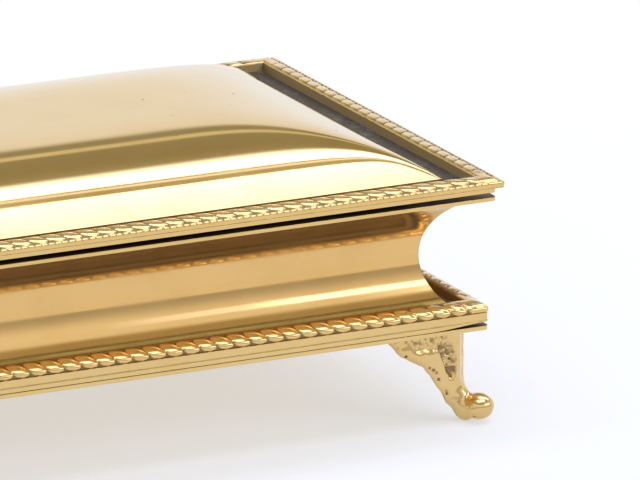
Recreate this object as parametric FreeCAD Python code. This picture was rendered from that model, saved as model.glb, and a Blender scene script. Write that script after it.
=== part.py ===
"""Domed brass table box with concave walls, gadrooned mouldings and four cast feet.

Millimetres, +Z up. The origin is on the floor, under the middle of the box.
X runs along the box, -Y is its front. Each piece goes to its own file in parts/.
"""
import FreeCAD
import Part
import math
import os

Vector = FreeCAD.Vector

# Overall outline, over the lid mouldings
LID_LENGTH = 200.0
LID_DEPTH = 130.0

# Sheet metal
BOTTOM_SHEET = 1.2
WALL_SHEET = 1.0
RIM_SHEET = 1.05
LID_SHEET = 1.6
DOME_SHEET = 0.8

# How far each level stands back from the edge of the lid mouldings
PLATE_SETBACK = 1.7
BASE_SETBACK = 2.8

# Heights of the body
FOOT_HEIGHT = 24.8
BODY_HEIGHT = 34.65
LID_GAP = 1.2

# Base moulding: plain band, quarter round, fillet, inner wall and the ledge that carries the walls
BASE_BAND = 4.7
BASE_ROUND_WIDTH = 3.6
BASE_ROUND_RISE = 1.5
BASE_ROUND_BULGE = 0.38
BASE_FILLET = 1.0
BASE_INNER_LEAN = 0.6
BASE_LEDGE_DROP = 2.2
BASE_LEDGE_WIDTH = 4.3

# Concave walls: where the outer face meets the rim and the ledge, and how deep it hollows between them
WALL_TOP_INSET = 2.7
WALL_FOOT_GAP = 2.1
WALL_HOLLOW = 9.0

# Lid moulding: plain band, bead, hollow, fillet and inner wall
LID_BAND = 1.5
LID_BEAD_WIDTH = 2.8
LID_BEAD_RISE = 0.55
LID_HOLLOW_WIDTH = 2.5
LID_FILLET = 0.6
LID_FILLET_RISE = 0.65
LID_INNER_LEAN = 0.9

# Pressed dome
CHANNEL_WIDTH = 5.0
DOME_RISE = 14.2
DOME_FOOT_RADIUS = 2.5
DOME_CORNER_SPREAD = 0.2
DOME_CORNER_LIMIT = 0.9
DOME_POWER = 4.0
DOME_SHOULDER = 0.75
DOME_STEPS = (1.0, 0.975, 0.91, 0.81, 0.68, 0.5, 0.27)

# Wooden lining
LINER_CLEARANCE = 0.55
LINER_BOARD = 3.0
LINER_FLOOR = 2.5
RIM_CLEARANCE = 0.3

# Butt hinges
HINGE_END_DISTANCE = 45.0
HINGE_LENGTH = 24.0
HINGE_LEAF_DEPTH = 8.0
HINGE_LEAF_GAP = 0.2
KNUCKLE_COUNT = 5
KNUCKLE_WALL = 0.65
KNUCKLE_PLAY = 0.1
PIN_RADIUS = 0.6
PIN_CLEARANCE = 0.05
PIN_HEAD_RADIUS = 0.95
PIN_HEAD = 0.4
BARREL_MARGIN = 0.05
NOTCH_CLEARANCE = 0.3

# Cast feet: pad, ankle and calf on the corner diagonal, then a bracket with two wings under the base
PAD_LENGTH = 10.6
PAD_WIDTH = 8.8
PAD_FLAT = 5.2
SOLE_HEIGHT = 1.6
SOLE_ROUNDING = 0.9
PAD_WIDEST_HEIGHT = 3.9
INSTEP_HEIGHT = 6.7
TOE_REACH = 1.0
ANKLE_HEIGHT = 9.8
ANKLE_LENGTH = 7.8
ANKLE_WIDTH = 7.0
ANKLE_INSET = 11.1
CALF_LENGTH = 10.0
CALF_WIDTH = 8.6
CALF_INSET = 12.6
KNEE_SETBACK = 4.3
KNEE_FLAT = 2.0
WING_THICKNESS = 4.5
WING_REACH = 28.0
WING_BEND_REACH = 23.6
WING_BEND_DROP = 6.1
WING_WAIST_REACH = 17.6
WING_WAIST_DROP = 8.9
WEB_WIDTH = 10.5
WEB_WAIST_WIDTH = 8.0

# Screws that hold the feet
SCREW_RADIUS = 1.25
SCREW_LENGTH = 7.0
SCREW_CLEARANCE = 0.1
SCREW_HEAD_RADIUS = 1.9
SCREW_HEAD = 1.2
SCREW_SLOT_WIDTH = 0.6
SCREW_SLOT_DEPTH = 0.6
SCREW_HEAD_MARGIN = 0.4

# Levels, from the floor up
BOTTOM_Z = FOOT_HEIGHT
BASE_Z = BOTTOM_Z + BOTTOM_SHEET
RIM_Z = BOTTOM_Z + BODY_HEIGHT
RIM_TOP_Z = RIM_Z + RIM_SHEET
LID_Z = RIM_TOP_Z + LID_GAP
LID_TOP_Z = LID_Z + LID_SHEET
HINGE_Z = RIM_TOP_Z + LID_GAP / 2

# Half outlines
LID_X = LID_LENGTH / 2
LID_Y = LID_DEPTH / 2
PLATE_X = LID_X - PLATE_SETBACK
PLATE_Y = LID_Y - PLATE_SETBACK
BASE_X = LID_X - BASE_SETBACK
BASE_Y = LID_Y - BASE_SETBACK

# Sizes that follow from the moulding profiles
BASE_FILLET_INSET = BASE_ROUND_WIDTH + BASE_FILLET
BASE_INNER_INSET = BASE_FILLET_INSET + BASE_INNER_LEAN
BASE_WIDTH = BASE_INNER_INSET + BASE_LEDGE_WIDTH
BASE_RIDGE_Z = BASE_Z + BASE_BAND + BASE_ROUND_RISE
LEDGE_Z = BASE_RIDGE_Z - BASE_LEDGE_DROP
LID_RIDGE_INSET = LID_BEAD_WIDTH + LID_HOLLOW_WIDTH
LID_RAIL_WIDTH = LID_RIDGE_INSET + LID_FILLET + LID_INNER_LEAN
DOME_X = LID_X - LID_RAIL_WIDTH - CHANNEL_WIDTH
DOME_Y = LID_Y - LID_RAIL_WIDTH - CHANNEL_WIDTH

# Hinge line
KNUCKLE_RADIUS = PIN_RADIUS + PIN_CLEARANCE + KNUCKLE_WALL
HINGE_Y = LID_Y - BARREL_MARGIN - KNUCKLE_RADIUS
NOTCH_Y = HINGE_Y - KNUCKLE_RADIUS - NOTCH_CLEARANCE
LEAF_SHEET = (LID_GAP - HINGE_LEAF_GAP) / 2

# Outward direction of each side in plan
SIDES = {
    "front": Vector(0, -1, 0),
    "back": Vector(0, 1, 0),
    "left": Vector(-1, 0, 0),
    "right": Vector(1, 0, 0),
}
HINGE_X = LID_X - HINGE_END_DISTANCE
HINGE_PLACES = {"left": -HINGE_X, "right": HINGE_X}
CORNERS = {
    "front_left": (-1, -1),
    "front_right": (1, -1),
    "back_left": (-1, 1),
    "back_right": (1, 1),
}


def block(x0, x1, y0, y1, z0, z1):
    """Square-edged block between two corners."""
    return Part.makeBox(x1 - x0, y1 - y0, z1 - z0, Vector(x0, y0, z0))


def slab(half_x, half_y, z0, z1):
    """Flat plate about the middle of the box."""
    return block(-half_x, half_x, -half_y, half_y, z0, z1)


def line(start, end):
    """Straight edge."""
    return Part.makeLine(start, end)


def arc(start, middle, end):
    """Round edge through three points."""
    return Part.Arc(start, middle, end).toShape()


def polygon(points):
    """Closed wire of straight edges."""
    return Part.makePolygon(list(points) + [points[0]])


def mitred(side, half_x, half_y, section, reach):
    """Length of one side with a drawn section, cut at 45 degrees at both ends.

    section gets a function that places a point by its inset from the outline and its height,
    and returns the closed wire of the section. reach is the largest inset in it.
    """
    out = SIDES[side]
    along = Vector(-out.y, out.x, 0)
    half_out = abs(out.x) * half_x + abs(out.y) * half_y
    half_run = abs(along.x) * half_x + abs(along.y) * half_y

    def place(inset, z):
        return out * (half_out - inset) - along * half_run + Vector(0, 0, z)

    run = Part.Face(section(place)).extrude(along * (2 * half_run))
    low = run.BoundBox.ZMin
    plan = [
        out * half_out - along * half_run,
        out * half_out + along * half_run,
        out * (half_out - reach) + along * (half_run - reach),
        out * (half_out - reach) - along * (half_run - reach),
    ]
    mitre = Part.Face(polygon([point + Vector(0, 0, low) for point in plan]))
    return run.common(mitre.extrude(Vector(0, 0, run.BoundBox.ZLength)))


def base_section(place):
    """Base moulding: band, quarter round, fillet, inner wall and ledge."""
    band_z = BASE_Z + BASE_BAND
    chord = math.hypot(BASE_ROUND_WIDTH, BASE_ROUND_RISE)
    bulge = place(
        BASE_ROUND_WIDTH / 2 - BASE_ROUND_BULGE * BASE_ROUND_RISE / chord,
        band_z + BASE_ROUND_RISE / 2 + BASE_ROUND_BULGE * BASE_ROUND_WIDTH / chord)
    points = [
        place(BASE_ROUND_WIDTH, BASE_RIDGE_Z),
        place(BASE_FILLET_INSET, BASE_RIDGE_Z),
        place(BASE_INNER_INSET, LEDGE_Z),
        place(BASE_WIDTH, LEDGE_Z),
        place(BASE_WIDTH, BASE_Z),
        place(0, BASE_Z),
        place(0, band_z),
    ]
    edges = [arc(points[-1], bulge, points[0])]
    edges += [line(a, b) for a, b in zip(points, points[1:])]
    return Part.Wire(edges)


def lid_section(place):
    """Lid moulding: band, bead, hollow, fillet and inner wall."""
    band_z = LID_TOP_Z + LID_BAND
    ridge_z = band_z + LID_FILLET_RISE
    bead = place(LID_BEAD_WIDTH / 2, band_z + LID_BEAD_RISE)
    points = [
        place(LID_BEAD_WIDTH, band_z),
        place(LID_RIDGE_INSET, ridge_z),
        place(LID_RIDGE_INSET + LID_FILLET, ridge_z),
        place(LID_RAIL_WIDTH, LID_TOP_Z),
        place(0, LID_TOP_Z),
        place(0, band_z),
    ]
    edges = [arc(points[-1], bead, points[0])]
    edges += [line(a, b) for a, b in zip(points, points[1:])]
    return Part.Wire(edges)


def wall_curve():
    """Centre (inset from the lid outline, height) and radius of the hollow outer face of the walls."""
    top_inset = PLATE_SETBACK + WALL_TOP_INSET
    foot_inset = BASE_SETBACK + BASE_INNER_INSET + WALL_FOOT_GAP
    chord_inset = foot_inset - top_inset
    chord_drop = RIM_Z - LEDGE_Z
    chord = math.hypot(chord_inset, chord_drop)
    radius = (chord * chord / 4 + WALL_HOLLOW * WALL_HOLLOW) / (2 * WALL_HOLLOW)
    offset = radius - WALL_HOLLOW
    centre_inset = (top_inset + foot_inset) / 2 - offset * chord_drop / chord
    centre_z = (RIM_Z + LEDGE_Z) / 2 - offset * chord_inset / chord
    return centre_inset, centre_z, radius


def wall_inset(radius, z):
    """Inset of a wall face of the given radius at one height."""
    centre_inset, centre_z, _ = wall_curve()
    return centre_inset + math.sqrt(radius * radius - (z - centre_z) ** 2)


def wall_section(place):
    """Hollow sheet between the ledge of the base moulding and the rim plate."""
    centre_inset, centre_z, radius = wall_curve()
    back = radius + WALL_SHEET
    front_top = place(wall_inset(radius, RIM_Z), RIM_Z)
    front_foot = place(wall_inset(radius, LEDGE_Z), LEDGE_Z)
    back_top = place(wall_inset(back, RIM_Z), RIM_Z)
    back_foot = place(wall_inset(back, LEDGE_Z), LEDGE_Z)
    return Part.Wire([
        arc(front_top, place(centre_inset + radius, centre_z), front_foot),
        line(front_foot, back_foot),
        arc(back_foot, place(centre_inset + back, centre_z), back_top),
        line(back_top, front_top),
    ])


WALL_REACH = wall_curve()[0] + wall_curve()[2] + WALL_SHEET
LINER_X = LID_X - WALL_REACH - LINER_CLEARANCE
LINER_Y = LID_Y - WALL_REACH - LINER_CLEARANCE


def rounded_rectangle(half_x, half_y, radius, z):
    """Closed wire of a rectangle with round corners, counted from the +X side."""
    eighth = radius * (1 - math.sqrt(0.5))
    starts = []
    ends = []
    middles = []
    for sx, sy in ((1, 1), (-1, 1), (-1, -1), (1, -1)):
        on_x = Vector(sx * half_x, sy * (half_y - radius), z)
        on_y = Vector(sx * (half_x - radius), sy * half_y, z)
        first, last = (on_x, on_y) if sx == sy else (on_y, on_x)
        starts.append(first)
        ends.append(last)
        middles.append(Vector(sx * (half_x - eighth), sy * (half_y - eighth), z))
    edges = []
    for corner in range(4):
        edges.append(arc(starts[corner], middles[corner], ends[corner]))
        edges.append(line(ends[corner], starts[(corner + 1) % 4]))
    return Part.Wire(edges)


def pillow(half_x, half_y, rise):
    """Solid pillow on top of the lid plate, steep at its foot and nearly flat in the middle."""
    sections = []
    for share in DOME_STEPS:
        inset = half_y * (1 - share)
        height = rise * (1 - share ** DOME_POWER) ** DOME_SHOULDER
        radius = min(DOME_FOOT_RADIUS + inset * DOME_CORNER_SPREAD, DOME_CORNER_LIMIT * (half_y - inset))
        sections.append(rounded_rectangle(half_x - inset, half_y - inset, radius, LID_TOP_Z + height))
    return Part.makeLoft(sections, True, False)


def lid_dome():
    """Pressed sheet, open below, that stands on the lid plate."""
    outer = pillow(DOME_X, DOME_Y, DOME_RISE)
    inner = pillow(DOME_X - DOME_SHEET, DOME_Y - DOME_SHEET, DOME_RISE - DOME_SHEET)
    return outer.cut(inner)


def hinge_notch(x, z0, z1):
    """Room for one hinge barrel in the back edge of a plate."""
    half = HINGE_LENGTH / 2 + PIN_HEAD + NOTCH_CLEARANCE
    return block(x - half, x + half, NOTCH_Y, LID_Y, z0, z1)


def notched_plate(z0, z1):
    """Plate of the lid and rim outline with room for the hinge barrels."""
    plate = slab(PLATE_X, PLATE_Y, z0, z1)
    for x in HINGE_PLACES.values():
        plate = plate.cut(hinge_notch(x, z0, z1))
    return plate


def rim_plate():
    """Flange on top of the walls, open in the middle for the lining."""
    opening = slab(LINER_X + RIM_CLEARANCE, LINER_Y + RIM_CLEARANCE, RIM_Z, RIM_TOP_Z)
    return notched_plate(RIM_Z, RIM_TOP_Z).cut(opening)


def hinge_leaf(x, z, knuckles):
    """Leaf lying in the gap under the lid, with the given knuckles along the pin."""
    knuckle = HINGE_LENGTH / KNUCKLE_COUNT
    start = x - HINGE_LENGTH / 2
    leaf = block(start, start + HINGE_LENGTH, NOTCH_Y - HINGE_LEAF_DEPTH, NOTCH_Y, z, z + LEAF_SHEET)
    for index in knuckles:
        low = start + index * knuckle + KNUCKLE_PLAY / 2
        length = knuckle - KNUCKLE_PLAY
        tongue = block(low, low + length, NOTCH_Y, HINGE_Y, z, z + LEAF_SHEET)
        barrel = Part.makeCylinder(KNUCKLE_RADIUS, length, Vector(low, HINGE_Y, HINGE_Z), Vector(1, 0, 0))
        leaf = leaf.fuse([tongue, barrel])
    bore = Part.makeCylinder(
        PIN_RADIUS + PIN_CLEARANCE, HINGE_LENGTH, Vector(start, HINGE_Y, HINGE_Z), Vector(1, 0, 0))
    return leaf.cut(bore).removeSplitter()


def hinge_pin(x):
    """Pin through the knuckles, with a peened head at each end."""
    start = x - HINGE_LENGTH / 2
    axis = Vector(1, 0, 0)
    pin = Part.makeCylinder(PIN_RADIUS, HINGE_LENGTH, Vector(start, HINGE_Y, HINGE_Z), axis)
    heads = [
        Part.makeCylinder(PIN_HEAD_RADIUS, PIN_HEAD, Vector(head_x, HINGE_Y, HINGE_Z), axis)
        for head_x in (start - PIN_HEAD, start + HINGE_LENGTH)
    ]
    return pin.fuse(heads).removeSplitter()


def foot_ring(half, z):
    """Closed section of a foot from one half of its plan, mirrored across the corner diagonal.

    A point of the half is two insets from the base corner, along X and along Y.
    """
    plan = list(half) + [(y, x) for x, y in reversed(half)]
    return polygon([Vector(BASE_X - x, BASE_Y - y, z) for x, y in plan])


def oval(inset, length, width):
    """Half of an eight-sided oval whose middle lies on the diagonal, inset from the base corner."""
    half = []
    for quarter in (0.125, 0.375, 0.625, 0.875):
        outward = math.cos(quarter * math.pi) * length / 2
        across = math.sin(quarter * math.pi) * width / 2
        half.append(((inset - outward + across) / math.sqrt(2), (inset - outward - across) / math.sqrt(2)))
    return half


def bracket(reach, web):
    """Half of the bracket plan: ridge at the corner, one wing and the web between the wings."""
    inner = KNEE_SETBACK + WING_THICKNESS
    return [
        (KNEE_SETBACK + KNEE_FLAT, KNEE_SETBACK),
        (reach, KNEE_SETBACK),
        (reach, inner),
        (inner + web, inner),
    ]


def foot_casting():
    """Foot for the back right corner, bored for its screw."""
    pad_inset = PAD_LENGTH / 2 - TOE_REACH
    instep_inset = (pad_inset + ANKLE_INSET) / 2
    waist_z = FOOT_HEIGHT - WING_WAIST_DROP
    casting = Part.makeLoft([
        foot_ring(oval(pad_inset, PAD_FLAT, PAD_FLAT), 0),
        foot_ring(oval(pad_inset, PAD_LENGTH * SOLE_ROUNDING, PAD_WIDTH * SOLE_ROUNDING), SOLE_HEIGHT),
        foot_ring(oval(pad_inset, PAD_LENGTH, PAD_WIDTH), PAD_WIDEST_HEIGHT),
        foot_ring(oval(instep_inset, PAD_LENGTH, PAD_WIDTH * SOLE_ROUNDING), INSTEP_HEIGHT),
        foot_ring(oval(ANKLE_INSET, ANKLE_LENGTH, ANKLE_WIDTH), ANKLE_HEIGHT),
        foot_ring(oval(CALF_INSET, CALF_LENGTH, CALF_WIDTH), (ANKLE_HEIGHT + waist_z) / 2),
        foot_ring(bracket(WING_WAIST_REACH, WEB_WAIST_WIDTH), waist_z),
        foot_ring(bracket(WING_BEND_REACH, WEB_WIDTH), FOOT_HEIGHT - WING_BEND_DROP),
        foot_ring(bracket(WING_REACH, WEB_WIDTH), FOOT_HEIGHT),
    ], True, True)
    screw = screw_place((1, 1))
    bore = Part.makeCylinder(
        SCREW_RADIUS + SCREW_CLEARANCE / 2, SCREW_LENGTH + SCREW_CLEARANCE,
        Vector(screw.x, screw.y, FOOT_HEIGHT), Vector(0, 0, -1))
    return casting.cut(bore)


def to_corner(shape, corner):
    """Mirror a piece made for the back right corner to another one."""
    sx, sy = CORNERS[corner]
    if sx < 0:
        shape = shape.mirror(Vector(0, 0, 0), Vector(1, 0, 0))
    if sy < 0:
        shape = shape.mirror(Vector(0, 0, 0), Vector(0, 1, 0))
    return shape


def screw_place(signs):
    """Axis of the screw at one corner, clear of the base moulding."""
    inset = BASE_WIDTH + SCREW_HEAD_MARGIN + SCREW_HEAD_RADIUS
    return Vector(signs[0] * (BASE_X - inset), signs[1] * (BASE_Y - inset), BASE_Z)


def foot_screw(signs):
    """Slotted screw through the bottom plate into one foot."""
    place = screw_place(signs)
    down = Vector(0, 0, -1)
    shank = Part.makeCylinder(SCREW_RADIUS, SCREW_LENGTH + BOTTOM_SHEET, place, down)
    head = Part.makeCylinder(SCREW_HEAD_RADIUS, SCREW_HEAD, place)
    top = BASE_Z + SCREW_HEAD
    slot = block(
        place.x - SCREW_HEAD_RADIUS, place.x + SCREW_HEAD_RADIUS,
        place.y - SCREW_SLOT_WIDTH / 2, place.y + SCREW_SLOT_WIDTH / 2,
        top - SCREW_SLOT_DEPTH, top)
    return shank.fuse(head).cut(slot).removeSplitter()


def bottom_plate():
    """Sheet under the base mouldings with a hole for each foot screw."""
    plate = slab(BASE_X, BASE_Y, BOTTOM_Z, BASE_Z)
    for signs in CORNERS.values():
        place = screw_place(signs)
        plate = plate.cut(Part.makeCylinder(
            SCREW_RADIUS + SCREW_CLEARANCE, BOTTOM_SHEET, place, Vector(0, 0, -1)))
    return plate


def liner_board(side):
    """One board of the lining; the short boards stand between the long ones."""
    inner_y = LINER_Y - LINER_BOARD
    inner_x = LINER_X - LINER_BOARD
    boards = {
        "front": (-LINER_X, LINER_X, -LINER_Y, -inner_y),
        "back": (-LINER_X, LINER_X, inner_y, LINER_Y),
        "left": (-LINER_X, -inner_x, -inner_y, inner_y),
        "right": (inner_x, LINER_X, -inner_y, inner_y),
    }
    return block(*boards[side], BASE_Z, LID_Z)


def liner_floor():
    """Floor board of the lining, between its four sides."""
    return slab(LINER_X - LINER_BOARD, LINER_Y - LINER_BOARD, BASE_Z, BASE_Z + LINER_FLOOR)


def build():
    """All pieces by node name."""
    case_knuckles = range(0, KNUCKLE_COUNT, 2)
    lid_knuckles = range(1, KNUCKLE_COUNT, 2)
    pieces = {
        "bottom_plate": bottom_plate(),
        "rim_plate": rim_plate(),
        "liner_floor": liner_floor(),
        "lid_plate": notched_plate(LID_Z, LID_TOP_Z),
        "lid_dome": lid_dome(),
        "foot_screws": Part.makeCompound([foot_screw(signs) for signs in CORNERS.values()]),
    }
    for side in SIDES:
        pieces["base_moulding_" + side] = mitred(side, BASE_X, BASE_Y, base_section, BASE_WIDTH)
        pieces["wall_" + side] = mitred(side, LID_X, LID_Y, wall_section, WALL_REACH)
        pieces["lid_moulding_" + side] = mitred(side, LID_X, LID_Y, lid_section, LID_RAIL_WIDTH)
        pieces["liner_" + side] = liner_board(side)
    casting = foot_casting()
    for corner in CORNERS:
        pieces["foot_" + corner] = to_corner(casting, corner)
    for place, x in HINGE_PLACES.items():
        pieces["hinge_%s_case_leaf" % place] = hinge_leaf(x, RIM_TOP_Z, case_knuckles)
        pieces["hinge_%s_lid_leaf" % place] = hinge_leaf(x, LID_Z - LEAF_SHEET, lid_knuckles)
        pieces["hinge_%s_pin" % place] = hinge_pin(x)
    return pieces


def main():
    """Write every piece to parts/ and print its size."""
    os.makedirs("parts", exist_ok=True)
    for name, shape in sorted(build().items()):
        shape.exportStep("parts/%s.step" % name)
        box = shape.BoundBox
        print("%-22s solids %d  valid %s  volume %9.1f mm3  z %.2f to %.2f" % (
            name, len(shape.Solids), shape.isValid(), shape.Volume, box.ZMin, box.ZMax))


main()
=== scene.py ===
"""Looks of a domed brass table box on four cast feet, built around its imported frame.

Metres, +Z up. The origin is on the floor under the middle of the box, and -Y is its front.
"""
import logging
import math
from collections.abc import Callable
from dataclasses import dataclass
from enum import Enum

import bmesh
import bpy
import numpy as np
from mathutils import Matrix, Vector


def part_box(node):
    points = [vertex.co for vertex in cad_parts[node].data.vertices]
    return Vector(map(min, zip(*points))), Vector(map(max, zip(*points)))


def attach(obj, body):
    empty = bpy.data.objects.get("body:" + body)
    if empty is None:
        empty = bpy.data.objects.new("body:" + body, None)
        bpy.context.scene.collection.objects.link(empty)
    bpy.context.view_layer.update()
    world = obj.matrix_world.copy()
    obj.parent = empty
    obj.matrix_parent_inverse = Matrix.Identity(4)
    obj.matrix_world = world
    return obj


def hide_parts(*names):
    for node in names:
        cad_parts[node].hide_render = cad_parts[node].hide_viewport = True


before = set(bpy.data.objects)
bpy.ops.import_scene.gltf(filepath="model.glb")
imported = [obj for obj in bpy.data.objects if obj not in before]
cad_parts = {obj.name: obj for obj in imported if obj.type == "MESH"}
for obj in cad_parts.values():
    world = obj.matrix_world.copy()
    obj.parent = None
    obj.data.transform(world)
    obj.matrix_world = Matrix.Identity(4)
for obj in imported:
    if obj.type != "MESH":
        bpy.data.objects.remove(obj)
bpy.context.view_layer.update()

MM = 0.001
TINY = 1e-12
RECESS = "recess"
log = logging.getLogger("brass_box")


class Side(Enum):
    """Side of the box, as its outward direction in plan."""

    FRONT = (0, -1)
    BACK = (0, 1)
    LEFT = (-1, 0)
    RIGHT = (1, 0)

    @property
    def word(self) -> str:
        """Name of the side as the nodes spell it."""
        return self.name.lower()

    @property
    def out(self) -> np.ndarray:
        """Outward direction."""
        return np.array([*self.value, 0.0])

    @property
    def along(self) -> np.ndarray:
        """Direction of the run, a quarter turn on from the outward one."""
        return np.array([-self.value[1], self.value[0], 0.0])

    def half_run(self, half: tuple[float, float]) -> float:
        """Half length of this side, out of those of the outline along X and along Y."""
        return half[1] if self.value[0] else half[0]


class Corner(Enum):
    """Corner of the box, as the signs of X and Y there."""

    FRONT_LEFT = (-1, -1)
    FRONT_RIGHT = (1, -1)
    BACK_LEFT = (-1, 1)
    BACK_RIGHT = (1, 1)


class Body(Enum):
    """Body that a piece moves with."""

    CASE = "case"
    LID = "lid"


class Slot(Enum):
    """Material slot of the record."""

    POLISHED = "brass_polished"
    CAST = "brass_cast"
    SHEET = "brass_sheet"
    STEEL = "steel"
    CEDAR = "cedar"


# Helpers for shapes


def in_mm(*rows: tuple[float, ...]) -> tuple[tuple[float, ...], ...]:
    """Rows of lengths in metres, out of rows in millimetres."""
    return tuple(tuple(length * MM for length in row) for row in rows)


def smoothstep(low: float, high: float, value: np.ndarray) -> np.ndarray:
    """Smooth ramp from 0 at low to 1 at high.

    Args:
        low: Value where the ramp starts.
        high: Value where it ends, which may be the smaller one.
        value: Values to ramp.

    Returns:
        The ramped values.
    """
    share = np.clip((value - low) / (high - low), 0.0, 1.0)
    return share * share * (3.0 - 2.0 * share)


@dataclass(frozen=True)
class Ripple:
    """Seeded smooth noise in space.

    Attributes:
        seed: Seed of the lattice.
        size: Length of one cell of the lattice.
        lattice: Cells along each axis, after which the noise repeats.
    """

    seed: int
    size: float
    lattice: int = 32

    def at(self, points: np.ndarray) -> np.ndarray:
        """Noise at some points.

        Args:
            points: Array whose last axis holds X, Y and Z.

        Returns:
            Values from -1 to 1.
        """
        values = np.random.default_rng(self.seed).uniform(-1, 1, (self.lattice,) * 3)
        cells = points / self.size
        low = np.floor(cells).astype(int)
        part = cells - low
        part = part * part * (3.0 - 2.0 * part)
        total = np.zeros(points.shape[:-1])
        for step in np.ndindex(2, 2, 2):
            weight = np.prod(np.where(step, part, 1.0 - part), axis=-1)
            i, j, k = np.moveaxis((low + step) % self.lattice, -1, 0)
            total += weight * values[i, j, k]
        return total


def link(name: str, data: bpy.types.ID) -> bpy.types.Object:
    """Put a new object into the scene.

    Args:
        name: Name of the object.
        data: Mesh, curve or camera that it holds.

    Returns:
        The new object.
    """
    made = bpy.data.objects.new(name, data)
    bpy.context.scene.collection.objects.link(made)
    return made


def finish_piece(name: str, mesh: bpy.types.Mesh, sharp: float, weld: float = 0.0) -> bpy.types.Object:
    """Object round a mesh, with outward faces and smooth shading.

    Args:
        name: Name of the piece.
        mesh: Its mesh.
        sharp: Edges sharper than this angle in degrees stay crisp.
        weld: Corners closer than this become one.

    Returns:
        The new object.
    """
    shape = bmesh.new()
    shape.from_mesh(mesh)
    if weld:
        bmesh.ops.remove_doubles(shape, verts=shape.verts, dist=weld)
    bmesh.ops.recalc_face_normals(shape, faces=shape.faces)
    shape.to_mesh(mesh)
    shape.free()
    mesh.name = name
    mesh.shade_smooth()
    mesh.set_sharp_from_angle(angle=math.radians(sharp))
    return link(name, mesh)


def make_piece(name: str, points: np.ndarray, faces: list, sharp: float = 40.0) -> bpy.types.Object:
    """Piece out of its corners and faces.

    Args:
        name: Name of the piece.
        points: Corners, one per row.
        faces: Corner numbers of each face.
        sharp: Edges sharper than this angle in degrees stay crisp.

    Returns:
        The new object.
    """
    mesh = bpy.data.meshes.new(name)
    mesh.from_pydata(points.tolist(), [], faces)
    return finish_piece(name, mesh, sharp)


def add_recess(piece: bpy.types.Object, values: np.ndarray) -> None:
    """Store how dark each corner is, for the finish to read.

    Args:
        piece: Mesh object.
        values: One value from 0 to 1 for each corner.
    """
    layer = piece.data.attributes.new(RECESS, "FLOAT", "POINT")
    layer.data.foreach_set("value", np.clip(values, 0.0, 1.0).astype(np.float32).ravel())


def dress(piece: bpy.types.Object, slot: Slot, finish: bpy.types.Material) -> None:
    """Give a piece its finish.

    Args:
        piece: Mesh object.
        slot: Material slot of the record; not used.
        finish: Its material.
    """
    piece.data.materials.clear()
    piece.data.materials.append(finish)


def hand_over(
        piece: bpy.types.Object, body: Body, slot: Slot, finish: bpy.types.Material, *nodes: str) -> None:
    """Dress a finished piece and let it ride in the place of its nodes.

    Args:
        piece: The finished piece.
        body: Body that it moves with.
        slot: Material slot of the record.
        finish: Its material.
        nodes: Nodes of the frame that it stands for.
    """
    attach(piece, body.value)
    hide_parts(*nodes)
    dress(piece, slot, finish)
    log.info("%s: %d faces on %s", piece.name, len(piece.data.polygons), body.value)


def dress_node(node: str, slot: Slot, finish: bpy.types.Material) -> None:
    """Give a node of the frame its finish.

    Args:
        node: Name of the node.
        slot: Material slot of the record.
        finish: Its material.
    """
    dress(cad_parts[node], slot, finish)
    log.info("%s: carried over", node)


def grid_faces(rows: int, columns: int, ring: bool, start: int = 0) -> list:
    """Quads of a grid of corners.

    Args:
        rows: Corners one way.
        columns: Corners the other way.
        ring: Whether each row closes on itself.
        start: Number of the first corner.

    Returns:
        Corner numbers of each quad.
    """
    last = columns if ring else columns - 1
    i, j = (part.ravel() for part in np.meshgrid(np.arange(rows - 1), np.arange(last), indexing="ij"))
    near = start + i * columns
    far = near + columns
    after = (j + 1) % columns
    return np.stack([near + j, near + after, far + after, far + j], axis=1).tolist()


MITRE_GAP = 0.03 * MM
ROUND_STEPS = 6
EDGE_STEPS = 2
PLATE_SHARP = 50.0
WELD = 0.001 * MM


def mitred(
        name: str, side: Side, half: tuple[float, float], share: np.ndarray, inset: np.ndarray,
        height: np.ndarray) -> bpy.types.Object:
    """Length of one side with a closed section, cut at 45 degrees at both ends.

    Args:
        name: Name of the piece.
        side: Side of the box.
        half: Half length of the outline along X and along Y.
        share: Places along the run, from -1 to 1.
        inset: Inset from the outline, by place and by corner of the section.
        height: Height of the same corners.

    Returns:
        The new object.
    """
    half_out = half[0] if side.value[0] else half[1]
    half_run = side.half_run(half)
    run = share[:, None] * (half_run - inset - MITRE_GAP)
    points = (
        side.out * (half_out - inset)[..., None] + side.along * run[..., None]
        + np.array([0.0, 0.0, 1.0]) * height[..., None])
    rows, columns = inset.shape
    faces = grid_faces(rows, columns, True)
    faces.append(list(range(columns)))
    faces.append(list(range((rows - 1) * columns, rows * columns)))
    return make_piece(name, points.reshape(-1, 3), faces)


def plate(name: str, outline: list, hole: list, low: float, high: float, edge: float) -> bpy.types.Object:
    """Flat plate with rounded edges.

    Args:
        name: Name of the piece.
        outline: Corners of its outline in plan, counter-clockwise.
        hole: Corners of its opening, or an empty list.
        low: Height of its underside.
        high: Height of its top.
        edge: Radius of its edges.

    Returns:
        The new object.
    """
    drawing = bpy.data.curves.new(name + "_drawing", "CURVE")
    drawing.dimensions = "2D"
    drawing.fill_mode = "BOTH"
    for loop in (outline, hole):
        if loop:
            spline = drawing.splines.new("POLY")
            spline.points.add(len(loop) - 1)
            for point, corner in zip(spline.points, loop):
                point.co = (*corner, 0.0, 1.0)
            spline.use_cyclic_u = True
    drawing.extrude = (high - low) / 2 - edge
    drawing.bevel_depth = edge
    drawing.bevel_resolution = EDGE_STEPS
    drawing.offset = -edge
    holder = link(name + "_drawing", drawing)
    view = bpy.context.evaluated_depsgraph_get()
    mesh = bpy.data.meshes.new_from_object(holder.evaluated_get(view))
    bpy.data.objects.remove(holder)
    mesh.transform(Matrix.Translation((0.0, 0.0, (low + high) / 2)))
    return finish_piece(name, mesh, PLATE_SHARP, WELD)


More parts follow.
